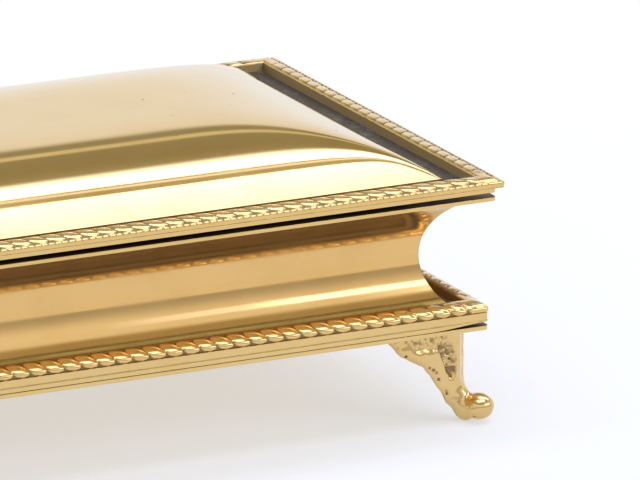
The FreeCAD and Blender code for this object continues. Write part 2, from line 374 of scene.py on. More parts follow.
def rectangle(low: Vector, high: Vector, radius: float = 0.0) -> list:
    """Outline of a rectangle in plan, counter-clockwise from its lowest corner.

    Args:
        low: Lowest corner of a box.
        high: Highest corner of the box.
        radius: Radius of the corners.

    Returns:
        Four corners, or as many points along each rounded one.
    """
    if not radius:
        return [(low.x, low.y), (high.x, low.y), (high.x, high.y), (low.x, high.y)]
    centres = rectangle(low + Vector((radius, radius, 0.0)), high - Vector((radius, radius, 0.0)))
    return [
        (x + radius * math.cos(turn), y + radius * math.sin(turn))
        for quarter, (x, y) in enumerate(centres)
        for turn in np.linspace(quarter + 2, quarter + 3, ROUND_STEPS) * math.pi / 2]


# Finishes


Colour = tuple[float, float, float, float]
Triple = tuple[float, float, float]
EVEN: Triple = (1.0, 1.0, 1.0)
WHITE: Colour = (1.0, 1.0, 1.0, 1.0)


class Graph:
    """Adds and joins the nodes of one shader tree."""

    def __init__(self, tree: bpy.types.NodeTree) -> None:
        """Start on an emptied tree."""
        self.tree = tree
        tree.nodes.clear()

    def put(self, socket: bpy.types.NodeSocket, value: object) -> None:
        """Join a socket to another one, or set its value.

        Args:
            socket: Input socket.
            value: Output socket, number, colour or vector.
        """
        if isinstance(value, bpy.types.NodeSocket):
            self.tree.links.new(value, socket)
        else:
            socket.default_value = value

    def node(self, kind: str, settings: dict | None = None, **values: object) -> bpy.types.Node:
        """Add a node.

        Args:
            kind: Blender's name of the node.
            settings: Options of the node.
            values: What goes into its inputs, with _ for a space in a name.

        Returns:
            The new node.
        """
        made = self.tree.nodes.new(kind)
        for key, value in (settings or {}).items():
            setattr(made, key, value)
        for key, value in values.items():
            self.put(made.inputs[key.replace("_", " ")], value)
        return made

    def numbered(self, kind: str, settings: dict, values: dict[int, object]) -> bpy.types.Node:
        """Add a node whose inputs go by number.

        Args:
            kind: Blender's name of the node.
            settings: Options of the node.
            values: What goes into its inputs, by their number.

        Returns:
            The new node.
        """
        made = self.node(kind, settings)
        for number, value in values.items():
            self.put(made.inputs[number], value)
        return made

    def math(self, operation: str, first: object, second: object = 0.0) -> bpy.types.NodeSocket:
        """Add a sum of two values.

        Args:
            operation: Blender's name of the sum.
            first: First value or socket.
            second: Second value or socket.

        Returns:
            The result's socket.
        """
        return self.numbered("ShaderNodeMath", {"operation": operation}, {0: first, 1: second}).outputs[0]

    def times(self, first: object, second: object) -> bpy.types.NodeSocket:
        """Product of two values."""
        return self.math("MULTIPLY", first, second)

    def plus(self, first: object, second: object) -> bpy.types.NodeSocket:
        """Sum of two values."""
        return self.math("ADD", first, second)

    def minus(self, first: object, second: object) -> bpy.types.NodeSocket:
        """First value less the second."""
        return self.math("SUBTRACT", first, second)

    def ramp(self, value: object, low: float, high: float, bottom: object = 0.0, top: object = 1.0
             ) -> bpy.types.NodeSocket:
        """Add a smooth, clamped ramp.

        Args:
            value: Value or socket to ramp.
            low: Value where the ramp starts.
            high: Value where it ends.
            bottom: Result at the start.
            top: Result at the end.

        Returns:
            The result's socket.
        """
        made = self.node(
            "ShaderNodeMapRange", {"interpolation_type": "SMOOTHSTEP"},
            Value=value, From_Min=low, From_Max=high, To_Min=bottom, To_Max=top)
        return made.outputs["Result"]

    def blend(self, share: object, first: object, second: object) -> bpy.types.NodeSocket:
        """Add a mix of two colours.

        Args:
            share: Share of the second colour.
            first: First colour or socket.
            second: Second colour or socket.

        Returns:
            The mixed colour's socket.
        """
        return self.numbered(
            "ShaderNodeMix", {"data_type": "RGBA"}, {0: share, 6: first, 7: second}).outputs[2]

    def scaled(self, vector: object, factors: object) -> bpy.types.NodeSocket:
        """Vector with each part multiplied by its own factor."""
        return self.numbered(
            "ShaderNodeVectorMath", {"operation": "MULTIPLY"}, {0: vector, 1: factors}).outputs[0]

    def noise(self, where: object, scale: object, detail: float, **values: object) -> bpy.types.NodeSocket:
        """Add cloudy noise.

        Args:
            where: Place to look it up at.
            scale: Its fineness.
            detail: Layers of finer noise in it.
            values: Further inputs of the node.

        Returns:
            Socket of its values.
        """
        made = self.node("ShaderNodeTexNoise", Vector=where, Scale=scale, Detail=detail, **values)
        return made.outputs["Fac"]

    def group(self, tree: bpy.types.NodeTree, **values: object) -> bpy.types.NodeOutputs:
        """Place a node group.

        Args:
            tree: The group.
            values: What goes into its inputs, with _ for a space in a name.

        Returns:
            The group's outputs.
        """
        return self.node("ShaderNodeGroup", {"node_tree": tree}, **values).outputs

    def place(self) -> bpy.types.NodeSocket:
        """Place on the piece, in its own coordinates."""
        return self.node("ShaderNodeTexCoord").outputs["Object"]

    def recess(self) -> bpy.types.NodeSocket:
        """Value that the piece stores for its dark places: tarnish, stains and painted shade."""
        return self.node("ShaderNodeAttribute", {"attribute_name": RECESS}).outputs["Fac"]

    def to_camera(self) -> bpy.types.NodeSocket:
        """Whether the camera itself sees the surface."""
        return self.node("ShaderNodeLightPath").outputs["Is Camera Ray"]

    def surface(self, relief: object, strength: float, depth: float, **values: object) -> None:
        """End a material with one shader over its fine relief.

        Args:
            relief: Height of the relief.
            strength: Strength of the relief.
            depth: Depth that a height of 1 stands for.
            values: Inputs of the shader.
        """
        bump = self.node("ShaderNodeBump", Height=relief, Strength=strength, Distance=depth)
        shader = self.node("ShaderNodeBsdfPrincipled", Normal=bump.outputs["Normal"], **values)
        self.node("ShaderNodeOutputMaterial", Surface=shader.outputs["BSDF"])


def new_material(name: str) -> tuple[bpy.types.Material, Graph]:
    """Start a material.

    Args:
        name: Name of the material.

    Returns:
        The empty material and the graph of its nodes.
    """
    material = bpy.data.materials.new(name)
    material.use_nodes = True
    return material, Graph(material.node_tree)


def new_group(name: str, inputs: dict[str, object], outputs: list[str]) -> tuple:
    """Start a shader node group whose first input, Vector, is the place on the piece.

    Args:
        name: Name of the group.
        inputs: First value of each further input, a number or three of them, by name.
        outputs: Names of its values.

    Returns:
        The group, its graph, the sockets that come in and those that go out.
    """
    tree = bpy.data.node_groups.new(name, "ShaderNodeTree")
    tree.interface.new_socket(name="Vector", in_out="INPUT", socket_type="NodeSocketVector")
    for label, value in inputs.items():
        kind = "NodeSocketVector" if isinstance(value, tuple) else "NodeSocketFloat"
        tree.interface.new_socket(name=label, in_out="INPUT", socket_type=kind).default_value = value
    for label in outputs:
        tree.interface.new_socket(name=label, in_out="OUTPUT", socket_type="NodeSocketFloat")
    graph = Graph(tree)
    return tree, graph, graph.node("NodeGroupInput").outputs, graph.node("NodeGroupOutput").inputs


class Effects:
    """Shader groups that several finishes share."""

    def __init__(self) -> None:
        """Build each group once."""
        self.hairlines = self._hairlines()
        self.tarnish = self._tarnish()
        self.pits = self._pits()
        self.specks = self._specks()

    @staticmethod
    def _hairlines() -> bpy.types.NodeTree:
        """Fine rubbing lines left by polishing, long in the direction of Stretch's smallest number.

        Returns:
            The group.
        """
        tree, graph, given, result = new_group(
            "hairlines", {"Stretch": EVEN, "Scale": 900.0}, ["Height", "Haze"])
        lines = graph.noise(
            graph.scaled(given["Vector"], given["Stretch"]), given["Scale"], 5.0, Roughness=0.7)
        patches = graph.ramp(graph.noise(given["Vector"], 38.0, 3.0), 0.35, 0.7)
        graph.put(result["Height"], lines)
        graph.put(result["Haze"], graph.times(lines, patches))
        return tree

    @staticmethod
    def _tarnish() -> bpy.types.NodeTree:
        """Dark cover where Recess is high, with a ragged edge: tarnish, and painted shade where a piece's
        recess values carry it.

        Returns:
            The group.
        """
        tree, graph, given, result = new_group(
            "tarnish", {"Recess": 0.0, "Scale": 500.0, "Ragged": 0.5}, ["Mask"])
        grain = graph.noise(given["Vector"], given["Scale"], 4.0, Roughness=0.65)
        shift = graph.times(graph.minus(grain, 0.5), given["Ragged"])
        graph.put(result["Mask"], graph.ramp(graph.plus(given["Recess"], shift), 0.25, 0.75))
        return tree

    @staticmethod
    def _pits() -> bpy.types.NodeTree:
        """Small round holes of a rough casting, denser where Recess is high.

        Returns:
            The group.
        """
        tree, graph, given, result = new_group("pits", {"Recess": 0.0, "Scale": 1400.0}, ["Height", "Mask"])
        cells = graph.node("ShaderNodeTexVoronoi", Vector=given["Vector"], Scale=given["Scale"])
        cloud = graph.noise(given["Vector"], 260.0, 3.0)
        where = graph.ramp(graph.plus(graph.times(given["Recess"], 0.5), cloud), 0.62, 0.95)
        mask = graph.times(graph.ramp(cells.outputs["Distance"], 0.45, 0.1), where)
        graph.put(result["Mask"], mask)
        graph.put(result["Height"], graph.minus(1.0, mask))
        return tree

    @staticmethod
    def _specks() -> bpy.types.NodeTree:
        """Scattered dark specks and short dashes of age.

        Returns:
            The group.
        """
        tree, graph, given, result = new_group("specks", {"Scale": 160.0, "Rarity": 0.8}, ["Mask"])
        cells = graph.node("ShaderNodeTexVoronoi", Vector=given["Vector"], Scale=given["Scale"])
        dot = graph.ramp(cells.outputs["Distance"], 0.11, 0.04)
        pick = graph.node("ShaderNodeSeparateColor", Color=cells.outputs["Color"])
        chosen = graph.math("GREATER_THAN", pick.outputs[0], given["Rarity"])
        graph.put(result["Mask"], graph.times(dot, chosen))
        return tree


@dataclass(frozen=True)
class Finish:
    """Look of one material.

    Attributes:
        name: Name of the material.
    """

    name: str

    def make(self, effects: Effects) -> bpy.types.Material:
        """Build the material.

        Args:
            effects: The shared shader groups.

        Returns:
            The new material.
        """
        material, graph = new_material(self.name)
        self.paint(graph, graph.place(), effects)
        return material

    def paint(self, graph: Graph, where: bpy.types.NodeSocket, effects: Effects) -> None:
        """Add the nodes of this kind of finish.

        Args:
            graph: Nodes of the material.
            where: Place on the piece.
            effects: The shared shader groups.
        """
        raise NotImplementedError


@dataclass(frozen=True)
class BrassFinish(Finish):
    """Brass with polishing lines, casting pits, tarnish and painted shade where its recess value is high, and
    a painted pale sheen at flat angles.

    Attributes:
        clean: Colour of the rubbed metal.
        warm: Colour of the metal where it has browned a little.
        browned: Fineness of the browned patches, and the noise where they start and are full.
        dark: Colour of the tarnish in the hollows, also used for the painted shade that the recess values
            carry.
        pale: Colour of the painted sheen, painted onto the metal where it is seen at a flat angle.
        sheen_share: How much of that painted sheen shows.
        flat: Flatness of the angle where that painted sheen starts and is full.
        gloss: Roughness of the rubbed metal.
        haze: How much rougher the hazy patches are.
        stretch: Drawing-out of the rubbing lines along X, Y and Z.
        line_depth: Strength of the rubbing lines.
        pit_depth: Strength of the casting pits.
        pit_stain: Darkness of the pits by their strength.
        speck: Darkness of the specks.
        ragged: Unevenness of the tarnish and painted shade.
        grain: Fineness of that unevenness.
        skin: How much of the metal the tarnish and painted shade hide.
        dulling: How much rougher the metal is under the tarnish and painted shade.
        metal: Share of bare metal below the haze.
        relief: Strength and depth of the fine relief.
    """

    clean: Colour = (0.80, 0.56, 0.225, 1.0)
    warm: Colour = (0.76, 0.51, 0.195, 1.0)
    browned: Triple = (55.0, 0.4, 0.75)
    dark: Colour = (0.16, 0.115, 0.055, 1.0)
    pale: Colour = (0.90, 0.82, 0.70, 1.0)
    sheen_share: float = 0.7
    flat: tuple[float, float] = (0.62, 0.9)
    gloss: float = 0.09
    haze: float = 0.10
    stretch: Triple = (0.06, 1.0, 1.0)
    line_depth: float = 0.03
    pit_depth: float = 0.0
    pit_stain: float = 2.0
    speck: float = 0.6
    ragged: float = 0.5
    grain: float = 500.0
    skin: float = 0.9
    dulling: float = 0.35
    metal: float = 0.95
    relief: tuple[float, float] = (0.5, 0.1 * MM)

    def paint(self, graph: Graph, where: bpy.types.NodeSocket, effects: Effects) -> None:
        """Add the rubbed metal with its lines, pits and specks, its painted pale sheen at flat angles, and
        the tarnish and painted shade over it.

        Args:
            graph: Nodes of the material.
            where: Place on the piece.
            effects: The shared shader groups.
        """
        recess = graph.recess()
        lines = graph.group(effects.hairlines, Vector=where, Stretch=self.stretch)
        tarnish = graph.group(
            effects.tarnish, Vector=where, Recess=recess, Scale=self.grain, Ragged=self.ragged)
        specks = graph.group(effects.specks, Vector=where)
        pits = graph.group(effects.pits, Vector=where, Recess=recess)
        fineness, start, full = self.browned
        cloud = graph.noise(where, fineness, 5.0, Roughness=0.6)
        metal = graph.blend(graph.ramp(cloud, start, full), self.clean, self.warm)
        holes = graph.times(pits["Mask"], min(1.0, self.pit_depth * self.pit_stain))
        # The recess values hold tarnish and stains, and on some pieces painted shade.
        hidden = graph.times(graph.math("MAXIMUM", tarnish["Mask"], holes), self.skin)
        cover = graph.math("MAXIMUM", hidden, graph.times(specks["Mask"], self.speck))
        # Painted sheen: the metal is painted paler where it is seen at a flat angle.
        angle = graph.node("ShaderNodeLayerWeight", Blend=0.5).outputs["Facing"]
        sheen = graph.ramp(angle, *self.flat, 0.0, self.sheen_share)
        colour = graph.blend(cover, graph.blend(sheen, metal, self.pale), self.dark)
        polish = graph.plus(self.gloss, graph.times(lines["Haze"], self.haze))
        rough = graph.plus(polish, graph.times(cover, self.dulling))
        lift = graph.times(lines["Height"], self.line_depth)
        relief = graph.plus(lift, graph.times(pits["Height"], self.pit_depth))
        graph.surface(relief, *self.relief, Base_Color=colour, Roughness=rough, Metallic=self.metal)


@dataclass(frozen=True)
class ChannelFinish(Finish):
    """Brass plate whose top has gone dark grey-brown where no cloth reaches.

    Attributes:
        clean: Colour of its rubbed edges.
        grime: Colour of the old polish and dirt on top.
        grey: Colour of the paler patches in it.
        gloss: Roughness of the rubbed edges.
        dulling: How much rougher the dirt is.
        bare: Share of metal that shows in the dirt.
        line_depth: Strength of the rubbing lines.
        relief: Strength and depth of the fine relief.
    """

    clean: Colour = (0.78, 0.54, 0.22, 1.0)
    grime: Colour = (0.060, 0.046, 0.036, 1.0)
    grey: Colour = (0.155, 0.140, 0.120, 1.0)
    gloss: float = 0.14
    dulling: float = 0.30
    bare: float = 0.35
    line_depth: float = 0.15
    relief: tuple[float, float] = (0.35, 0.12 * MM)

    def paint(self, graph: Graph, where: bpy.types.NodeSocket, effects: Effects) -> None:
        """Add the brass and the patchy dirt over it.

        Args:
            graph: Nodes of the material.
            where: Place on the piece.
            effects: The shared shader groups.
        """
        top = graph.recess()
        lines = graph.group(effects.hairlines, Vector=where, Stretch=EVEN, Scale=700.0)
        pits = graph.group(effects.pits, Vector=where, Recess=top, Scale=1100.0)
        cover = graph.group(effects.tarnish, Vector=where, Recess=top, Scale=300.0, Ragged=0.35)["Mask"]
        cloud = graph.noise(where, 180.0, 6.0, Roughness=0.7)
        dirt = graph.blend(graph.ramp(cloud, 0.48, 0.72), self.grime, self.grey)
        relief = graph.plus(graph.times(lines["Height"], self.line_depth), pits["Height"])
        graph.surface(
            relief, *self.relief, Base_Color=graph.blend(cover, self.clean, dirt),
            Roughness=graph.plus(self.gloss, graph.times(cover, self.dulling)),
            Metallic=graph.ramp(cover, 0.0, 1.0, 1.0, self.bare))


@dataclass(frozen=True)
class SteelFinish(Finish):
    """Plain steel of the pins and screws, a little stained.

    Attributes:
        clean: Colour of the bare metal.
        stain: Colour of the stains.
        gloss: Roughness of the metal.
        dulling: How much rougher its lines are.
        relief: Strength and depth of the fine relief.
    """

    clean: Colour = (0.52, 0.50, 0.47, 1.0)
    stain: Colour = (0.16, 0.11, 0.07, 1.0)
    gloss: float = 0.25
    dulling: float = 0.2
    relief: tuple[float, float] = (0.2, 0.05 * MM)

    def paint(self, graph: Graph, where: bpy.types.NodeSocket, effects: Effects) -> None:
        """Add the lined metal and its stains.

        Args:
            graph: Nodes of the material.
            where: Place on the piece.
            effects: The shared shader groups.
        """
        lines = graph.group(effects.hairlines, Vector=where, Stretch=(0.2, 1.0, 1.0), Scale=1500.0)
        tarnish = graph.group(effects.tarnish, Vector=where, Recess=0.3, Scale=900.0, Ragged=1.2)
        graph.surface(
            lines["Height"], *self.relief, Base_Color=graph.blend(tarnish["Mask"], self.clean, self.stain),
            Roughness=graph.plus(self.gloss, graph.times(lines["Height"], self.dulling)), Metallic=1.0)


@dataclass(frozen=True)
class CedarFinish(Finish):
    """Thin cedar boards with straight grain.

    Attributes:
        pale: Colour of the early wood.
        deep: Colour of the late wood.
        grain: Drawing-out of the grain along X, Y and Z.
        relief: Strength and depth of the fine relief.
    """

    pale: Colour = (0.42, 0.20, 0.095, 1.0)
    deep: Colour = (0.22, 0.085, 0.038, 1.0)
    grain: Triple = (0.06, 1.0, 1.0)
    relief: tuple[float, float] = (0.4, 0.08 * MM)

    def paint(self, graph: Graph, where: bpy.types.NodeSocket, effects: Effects) -> None:
        """Add the rings and the fibres.

        Args:
            graph: Nodes of the material.
            where: Place on the piece.
            effects: The shared shader groups.
        """
        growth = graph.noise(graph.scaled(where, self.grain), 320.0, 4.0, Roughness=0.55, Distortion=0.6)
        fibre = graph.group(effects.hairlines, Vector=where, Stretch=self.grain, Scale=2600.0)["Height"]
        rings = graph.blend(graph.ramp(growth, 0.38, 0.62), self.pale, self.deep)
        flecked = graph.blend(graph.ramp(fibre, 0.55, 0.75, 0.0, 0.5), rings, self.deep)
        rough = graph.ramp(fibre, 0.3, 0.8, 0.5, 0.72)
        graph.surface(fibre, *self.relief, Base_Color=flecked, Roughness=rough)


class Finishes:
    """All materials of the box."""

    def __init__(self) -> None:
        """Build each material once."""
        effects = Effects()
        self.dome = BrassFinish(
            "dome_brass", gloss=0.06, haze=0.05, line_depth=0.012, metal=1.0).make(effects)
        # The walls' dark colour paints the solder stain and the painted shade below the rim and at the foot.
        self.wall = BrassFinish(
            "wall_brass", clean=(0.815, 0.525, 0.20, 1.0), warm=(0.775, 0.49, 0.18, 1.0),
            dark=(0.18, 0.112, 0.008, 1.0), gloss=0.07, haze=0.13, line_depth=0.04, ragged=0.35,
            grain=160.0, skin=0.8, dulling=0.08, metal=0.86).make(effects)
        self.moulding = BrassFinish(
            "moulding_brass", gloss=0.16, haze=0.08, pit_depth=0.12, ragged=0.7, stretch=EVEN).make(effects)
        self.base = BrassFinish(
            "base_brass", clean=(0.79, 0.555, 0.23, 1.0), dark=(0.20, 0.125, 0.05, 1.0), gloss=0.15,
            haze=0.10, pit_depth=0.12, ragged=0.7, stretch=EVEN).make(effects)
        self.foot = BrassFinish(
            "foot_brass", clean=(0.77, 0.545, 0.235, 1.0), dark=(0.20, 0.14, 0.075, 1.0), gloss=0.15,
            haze=0.14, pit_depth=0.9, ragged=1.5, grain=900.0, stretch=EVEN, skin=0.8).make(effects)
        self.sheet = BrassFinish(
            "sheet_brass", dark=(0.075, 0.045, 0.02, 1.0), gloss=0.16, haze=0.12, line_depth=0.06,
            metal=0.9).make(effects)
        self.channel = ChannelFinish("channel_brass").make(effects)
        self.steel = SteelFinish("stained_steel").make(effects)
        self.cedar_long = CedarFinish("cedar_long").make(effects)
        self.cedar_short = CedarFinish("cedar_short", grain=(1.0, 0.06, 1.0)).make(effects)


# Mouldings


@dataclass(frozen=True)
class Section:
    """Drawn section of a moulding, from its outer foot over the top to its inner foot.

    Attributes:
        knots: Inset and height of each corner of the drawing.
        step: Distance between the points along it.
    """

    knots: tuple[tuple[float, float], ...]
    step: float = 0.22 * MM

    def sample(self) -> tuple[np.ndarray, np.ndarray, np.ndarray]:
        """Points along the drawing.

        Returns:
            Inset, height and length along the drawing of each point.
        """
        corners = np.array(self.knots)
        legs = np.hypot(*np.diff(corners, axis=0).T)
        ends = np.concatenate([[0.0], np.cumsum(legs)])
        stops = [
            np.linspace(start, end, max(1, round((end - start) / self.step)), endpoint=False)
            for start, end in zip(ends, ends[1:])]
        length = np.concatenate([*stops, ends[-1:]])
        return np.interp(length, ends, corners[:, 0]), np.interp(length, ends, corners[:, 1]), length

    def place(self, knot: int) -> float:
        """Length along the drawing up to one of its corners."""
        corners = np.array(self.knots[:knot + 1])
        return float(np.hypot(*np.diff(corners, axis=0).T).sum())


@dataclass(frozen=True)
class LobeRow:
    """Row of tongue-shaped lobes along a moulding.

    Attributes:
        pitch: Distance from lobe to lobe.
        start: Length along the section where the row begins.
        end: Length along the section where it ends.
        rise: Height of a lobe.
        slant: Angle of the lobes from square, in degrees.
        width: Share of the pitch that a lobe takes.
        fullness: Power of its rounding, small for a full one.
        tip: Share of a lobe's length that rounds off at its outer end.
        tail: Share of a lobe's length that rounds off at its inner end.
        offset: Share of the pitch by which the row is shifted.
        stain: Darkness of the hollows between the lobes.
    """

    NARROWEST = 0.02

    pitch: float
    start: float
    end: float
    rise: float
    slant: float = 0.0
    width: float = 0.9
    fullness: float = 0.5
    tip: float = 0.5
    tail: float = 0.5
    offset: float = 0.0
    stain: float = 1.0

    def reach(self, length: np.ndarray) -> np.ndarray:
        """Rounding of the row as a whole.

        Args:
            length: Place along the section.

        Returns:
            Values from 0 at the row's edges to 1.
        """
        share = np.clip((length - self.start) / (self.end - self.start), 0.0, 1.0)
        outer = np.clip((self.tip - share) / self.tip, 0.0, 1.0)
        inner = np.clip((share - 1.0 + self.tail) / self.tail, 0.0, 1.0)
        return np.sqrt(np.clip(1.0 - outer ** 2, 0.0, 1.0) * np.clip(1.0 - inner ** 2, 0.0, 1.0))

    def swell(self, run: np.ndarray, length: np.ndarray) -> np.ndarray:
        """Rounding of each lobe across its width.

        Args:
            run: Place along the moulding.
            length: Place along the section.

        Returns:
            Values from 0 in the hollows to 1 on the crests.
        """
        lean = math.tan(math.radians(self.slant)) * (length - self.start)
        across = 2.0 * np.mod((run + lean) / self.pitch + self.offset, 1.0) - 1.0
        across = across / (self.width * np.maximum(self.reach(length), self.NARROWEST))
        return np.clip(1.0 - across ** 2, 0.0, 1.0) ** self.fullness


@dataclass
class Moulding:
    """Four mitred lengths of ornamental moulding round the box.

    Attributes:
        prefix: First part of the nodes' names.
        body: Body that it moves with.
        section: Its drawn section, above its own foot.
        rows: Its rows of lobes.
        lines: Places along the section of fine engraved lines.
        line_width: Width of such a line.
        line_depth: Depth of such a line by its width.
        line_shadow: Darkness painted into such a line, as painted shadow in its groove.
        grooves: First and last place along the section of grooves painted dark, as painted shade.
        groove_shade: Darkness of that painted shade.
        plain: Length left plain at each end.
        fade: Length over which the ornament dies away.
        plain_rise: Share of the lobes' height that the plain ends keep.
        corner: Radius of the upright edges at the box's corners.
        open_joint: Gap below the moulding at the front right corner.
        open_length: Length of that gap.
        open_depth: Depth of that gap.
        open_height: Heights in the section where its rise ends and where it is full.
        shade_from: Length along the section from which the inner side is painted dark, as painted shade for
            the dark channel that it reflects.
        shade: Darkness of that painted shade.
        step: Distance between the points along the run.
    """

    ROW_EDGE = 0.1 * MM
    GROOVE_EDGE = 0.2 * MM
    SHADE_EDGE = 0.4 * MM
    HOLLOW_POWER = 1.3

    prefix: str
    body: Body
    section: Section
    rows: tuple[LobeRow, ...]
    lines: tuple[float, ...] = ()
    line_width: float = 0.16 * MM
    line_depth: float = 0.6
    line_shadow: float = 0.85
    grooves: tuple[tuple[float, float], ...] = ()
    groove_shade: float = 0.8
    plain: float = 3.2 * MM
    fade: float = 3.0 * MM
    plain_rise: float = 0.55
    corner: float = 1.4 * MM
    open_joint: float = 0.0
    open_length: float = 17.0 * MM
    open_depth: float = 5.0 * MM
    open_height: tuple[float, float] = (1.4 * MM, 0.3 * MM)
    shade_from: float = 1.0
    shade: float = 0.6
    step: float = 0.3 * MM

    def build(self, finish: bpy.types.Material) -> None:
        """Make the four lengths.

        Args:
            finish: Their material.
        """
        half = (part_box(self.prefix + "_right")[1].x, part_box(self.prefix + "_back")[1].y)
        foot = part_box(self.prefix + "_front")[0].z
        for side in Side:
            self._length(side, half, foot, finish)

    def _length(self, side: Side, half: tuple[float, float], foot: float, finish: bpy.types.Material) -> None:
        """Make one length.

        Args:
            side: Side of the box.
            half: Half length of the outline along X and along Y.
            foot: Height of its foot.
            finish: Its material.
        """
        inset, height, length = self.section.sample()
        half_run = side.half_run(half)
        share = np.linspace(-1.0, 1.0, 2 * round(half_run / self.step))
        run = share[:, None] * (half_run - inset)
        lift, recess = self._ornament(run, half_run - inset - np.abs(run), length)
        rounding = np.maximum(self.corner - inset, 0.0)
        from_mitre = np.minimum((1.0 - np.abs(share[:, None])) * half_run, rounding)
        setback = rounding - (from_mitre + np.sqrt(2.0 * rounding ** 2 - from_mitre ** 2)) / 2
        new_inset = inset - np.gradient(height, length) * lift + setback
        gap = self._gap(side, run, half_run, height, inset)
        new_height = foot + height + np.gradient(inset, length) * lift + gap
        node = self.prefix + "_" + side.word
        piece = mitred(node + "_cast", side, half, share, new_inset, new_height)
        add_recess(piece, recess)
        hand_over(piece, self.body, Slot.CAST, finish, node)

    def _ornament(
            self, run: np.ndarray, from_end: np.ndarray, length: np.ndarray) -> tuple[np.ndarray, np.ndarray]:
        """Relief and darkness of the ornament: dark hollows between the lobes, and painted shade in its
        grooves, lines and inner side.

        Args:
            run: Place along the moulding.
            from_end: Distance from the nearer mitre.
            length: Place along the section.

        Returns:
            Lift above the drawn section, and darkness.
        """
        kept = smoothstep(self.plain, self.plain + self.fade, from_end)
        lift = np.zeros_like(run)
        # Painted shade on the inner side, from shade_from on.
        shaded = smoothstep(self.shade_from, self.shade_from + self.SHADE_EDGE, length)
        recess = self.shade * shaded + np.zeros_like(run)
        for row in self.rows:
            swell = row.swell(run, length)
            inside = smoothstep(row.start - self.ROW_EDGE, row.start + self.ROW_EDGE, length)
            inside *= smoothstep(row.end + self.ROW_EDGE, row.end - self.ROW_EDGE, length)
            lift += row.rise * row.reach(length) * (kept * swell + (1.0 - kept) * self.plain_rise)
            recess = np.maximum(recess, row.stain * kept * inside * (1.0 - swell) ** self.HOLLOW_POWER)
        # Painted shade in the grooves.
        for start, end in self.grooves:
            dirt = smoothstep(start, start + self.GROOVE_EDGE, length)
            dirt *= smoothstep(end + self.GROOVE_EDGE, end, length)
            recess = np.maximum(recess, self.groove_shade * kept * dirt)
        # Each line is cut in and painted dark, as painted shadow in its groove.
        for place in self.lines:
            groove = np.exp(-((length - place) / (self.line_width / 2)) ** 2)
            lift -= self.line_depth * self.line_width * groove
            recess = np.maximum(recess, self.line_shadow * groove)
        return lift, recess

    def _gap(
            self, side: Side, run: np.ndarray, half_run: float, height: np.ndarray,
            inset: np.ndarray) -> np.ndarray:
        """Rise of the underside where the solder has let go at the front right corner.

        Args:
            side: Side of the box.
            run: Place along the moulding.
            half_run: Half of its length.
            height: Height of each point of the section.
            inset: Inset of each point of the section.

        Returns:
            Rise of each point.
        """
        low = smoothstep(*self.open_height, height) * (inset < self.open_depth)
        if side is Side.FRONT:
            return self.open_joint * low * smoothstep(half_run - self.open_length, half_run, run)
        if side is Side.RIGHT:
            return self.open_joint * low * smoothstep(self.open_length - half_run, -half_run, run)
        return np.zeros_like(run)


def lid_moulding() -> Moulding:
    """Narrow moulding of the lid: a band, beads, a groove painted dark as painted shade, slanted leaves and a
    flat crest.

    Returns:
        The moulding.
    """
    section = Section(in_mm(
        (0.14, 0.0), (0.0, 0.14), (0.0, 1.2), (0.12, 1.34), (0.3, 1.32), (1.0, 1.46), (1.25, 1.3),
        (1.5, 1.3), (2.2, 1.78), (3.0, 2.05), (4.0, 2.1), (5.5, 2.12), (5.65, 2.02), (6.8, 0.0)))
    at = section.place
    beads = LobeRow(
        pitch=1.9 * MM, start=at(4), end=at(5) + 0.1 * MM, rise=0.22 * MM, width=0.98, tip=0.45, tail=0.55,
        stain=0.4)
    leaves = LobeRow(
        pitch=4.8 * MM, start=at(7) - 0.2 * MM, end=at(11) - 0.1 * MM, rise=0.3 * MM, slant=32.0, width=0.98,
        fullness=0.35, tip=0.45, tail=0.12, stain=0.85)
    # The groove between the beads and the leaves, and the inner side from at(12) on, are painted dark as
    # painted shade; the line at the band's foot is painted as the shadow of its seam.
    return Moulding(
        "lid_moulding", Body.LID, section, (beads, leaves), lines=(at(1) + 0.05 * MM,), line_width=0.24 * MM,
        plain_rise=0.5, grooves=((at(5) + 0.1 * MM, at(7) - 0.1 * MM),), shade_from=at(12), shade=0.85)


def base_moulding() -> Moulding:
    """Larger moulding of the base: two plain bands, a row of slanted lobes, a fillet and a ledge.

    Returns:
        The moulding.
    """
    section = Section(in_mm(
        (0.12, 0.0), (0.0, 0.12), (0.0, 3.4), (0.2, 3.6), (0.0, 3.8), (0.12, 4.55), (0.9, 5.2), (2.1, 5.7),
        (3.3, 5.98), (3.65, 6.12), (4.5, 6.12), (4.65, 6.0), (5.2, 4.0), (9.5, 4.0), (9.5, 0.0)))
    at = section.place
    lobes = LobeRow(
        pitch=4.8 * MM, start=at(4) - 0.05 * MM, end=at(9), rise=0.5 * MM, slant=24.0, width=0.99,
        fullness=0.45, tip=0.24, tail=0.4, stain=0.85)
    # The top of the fillet and the inner side from at(11) on are painted dark as painted shade, and the lines
    # as painted shadow in their grooves.
    return Moulding(
        "base_moulding", Body.CASE, section, (lobes,), lines=(0.0, 1.5 * MM, at(3)), line_shadow=0.7,
        grooves=((at(9), at(11)),), open_joint=0.95 * MM, shade_from=at(11), shade=0.8)


# Lid, walls and plates


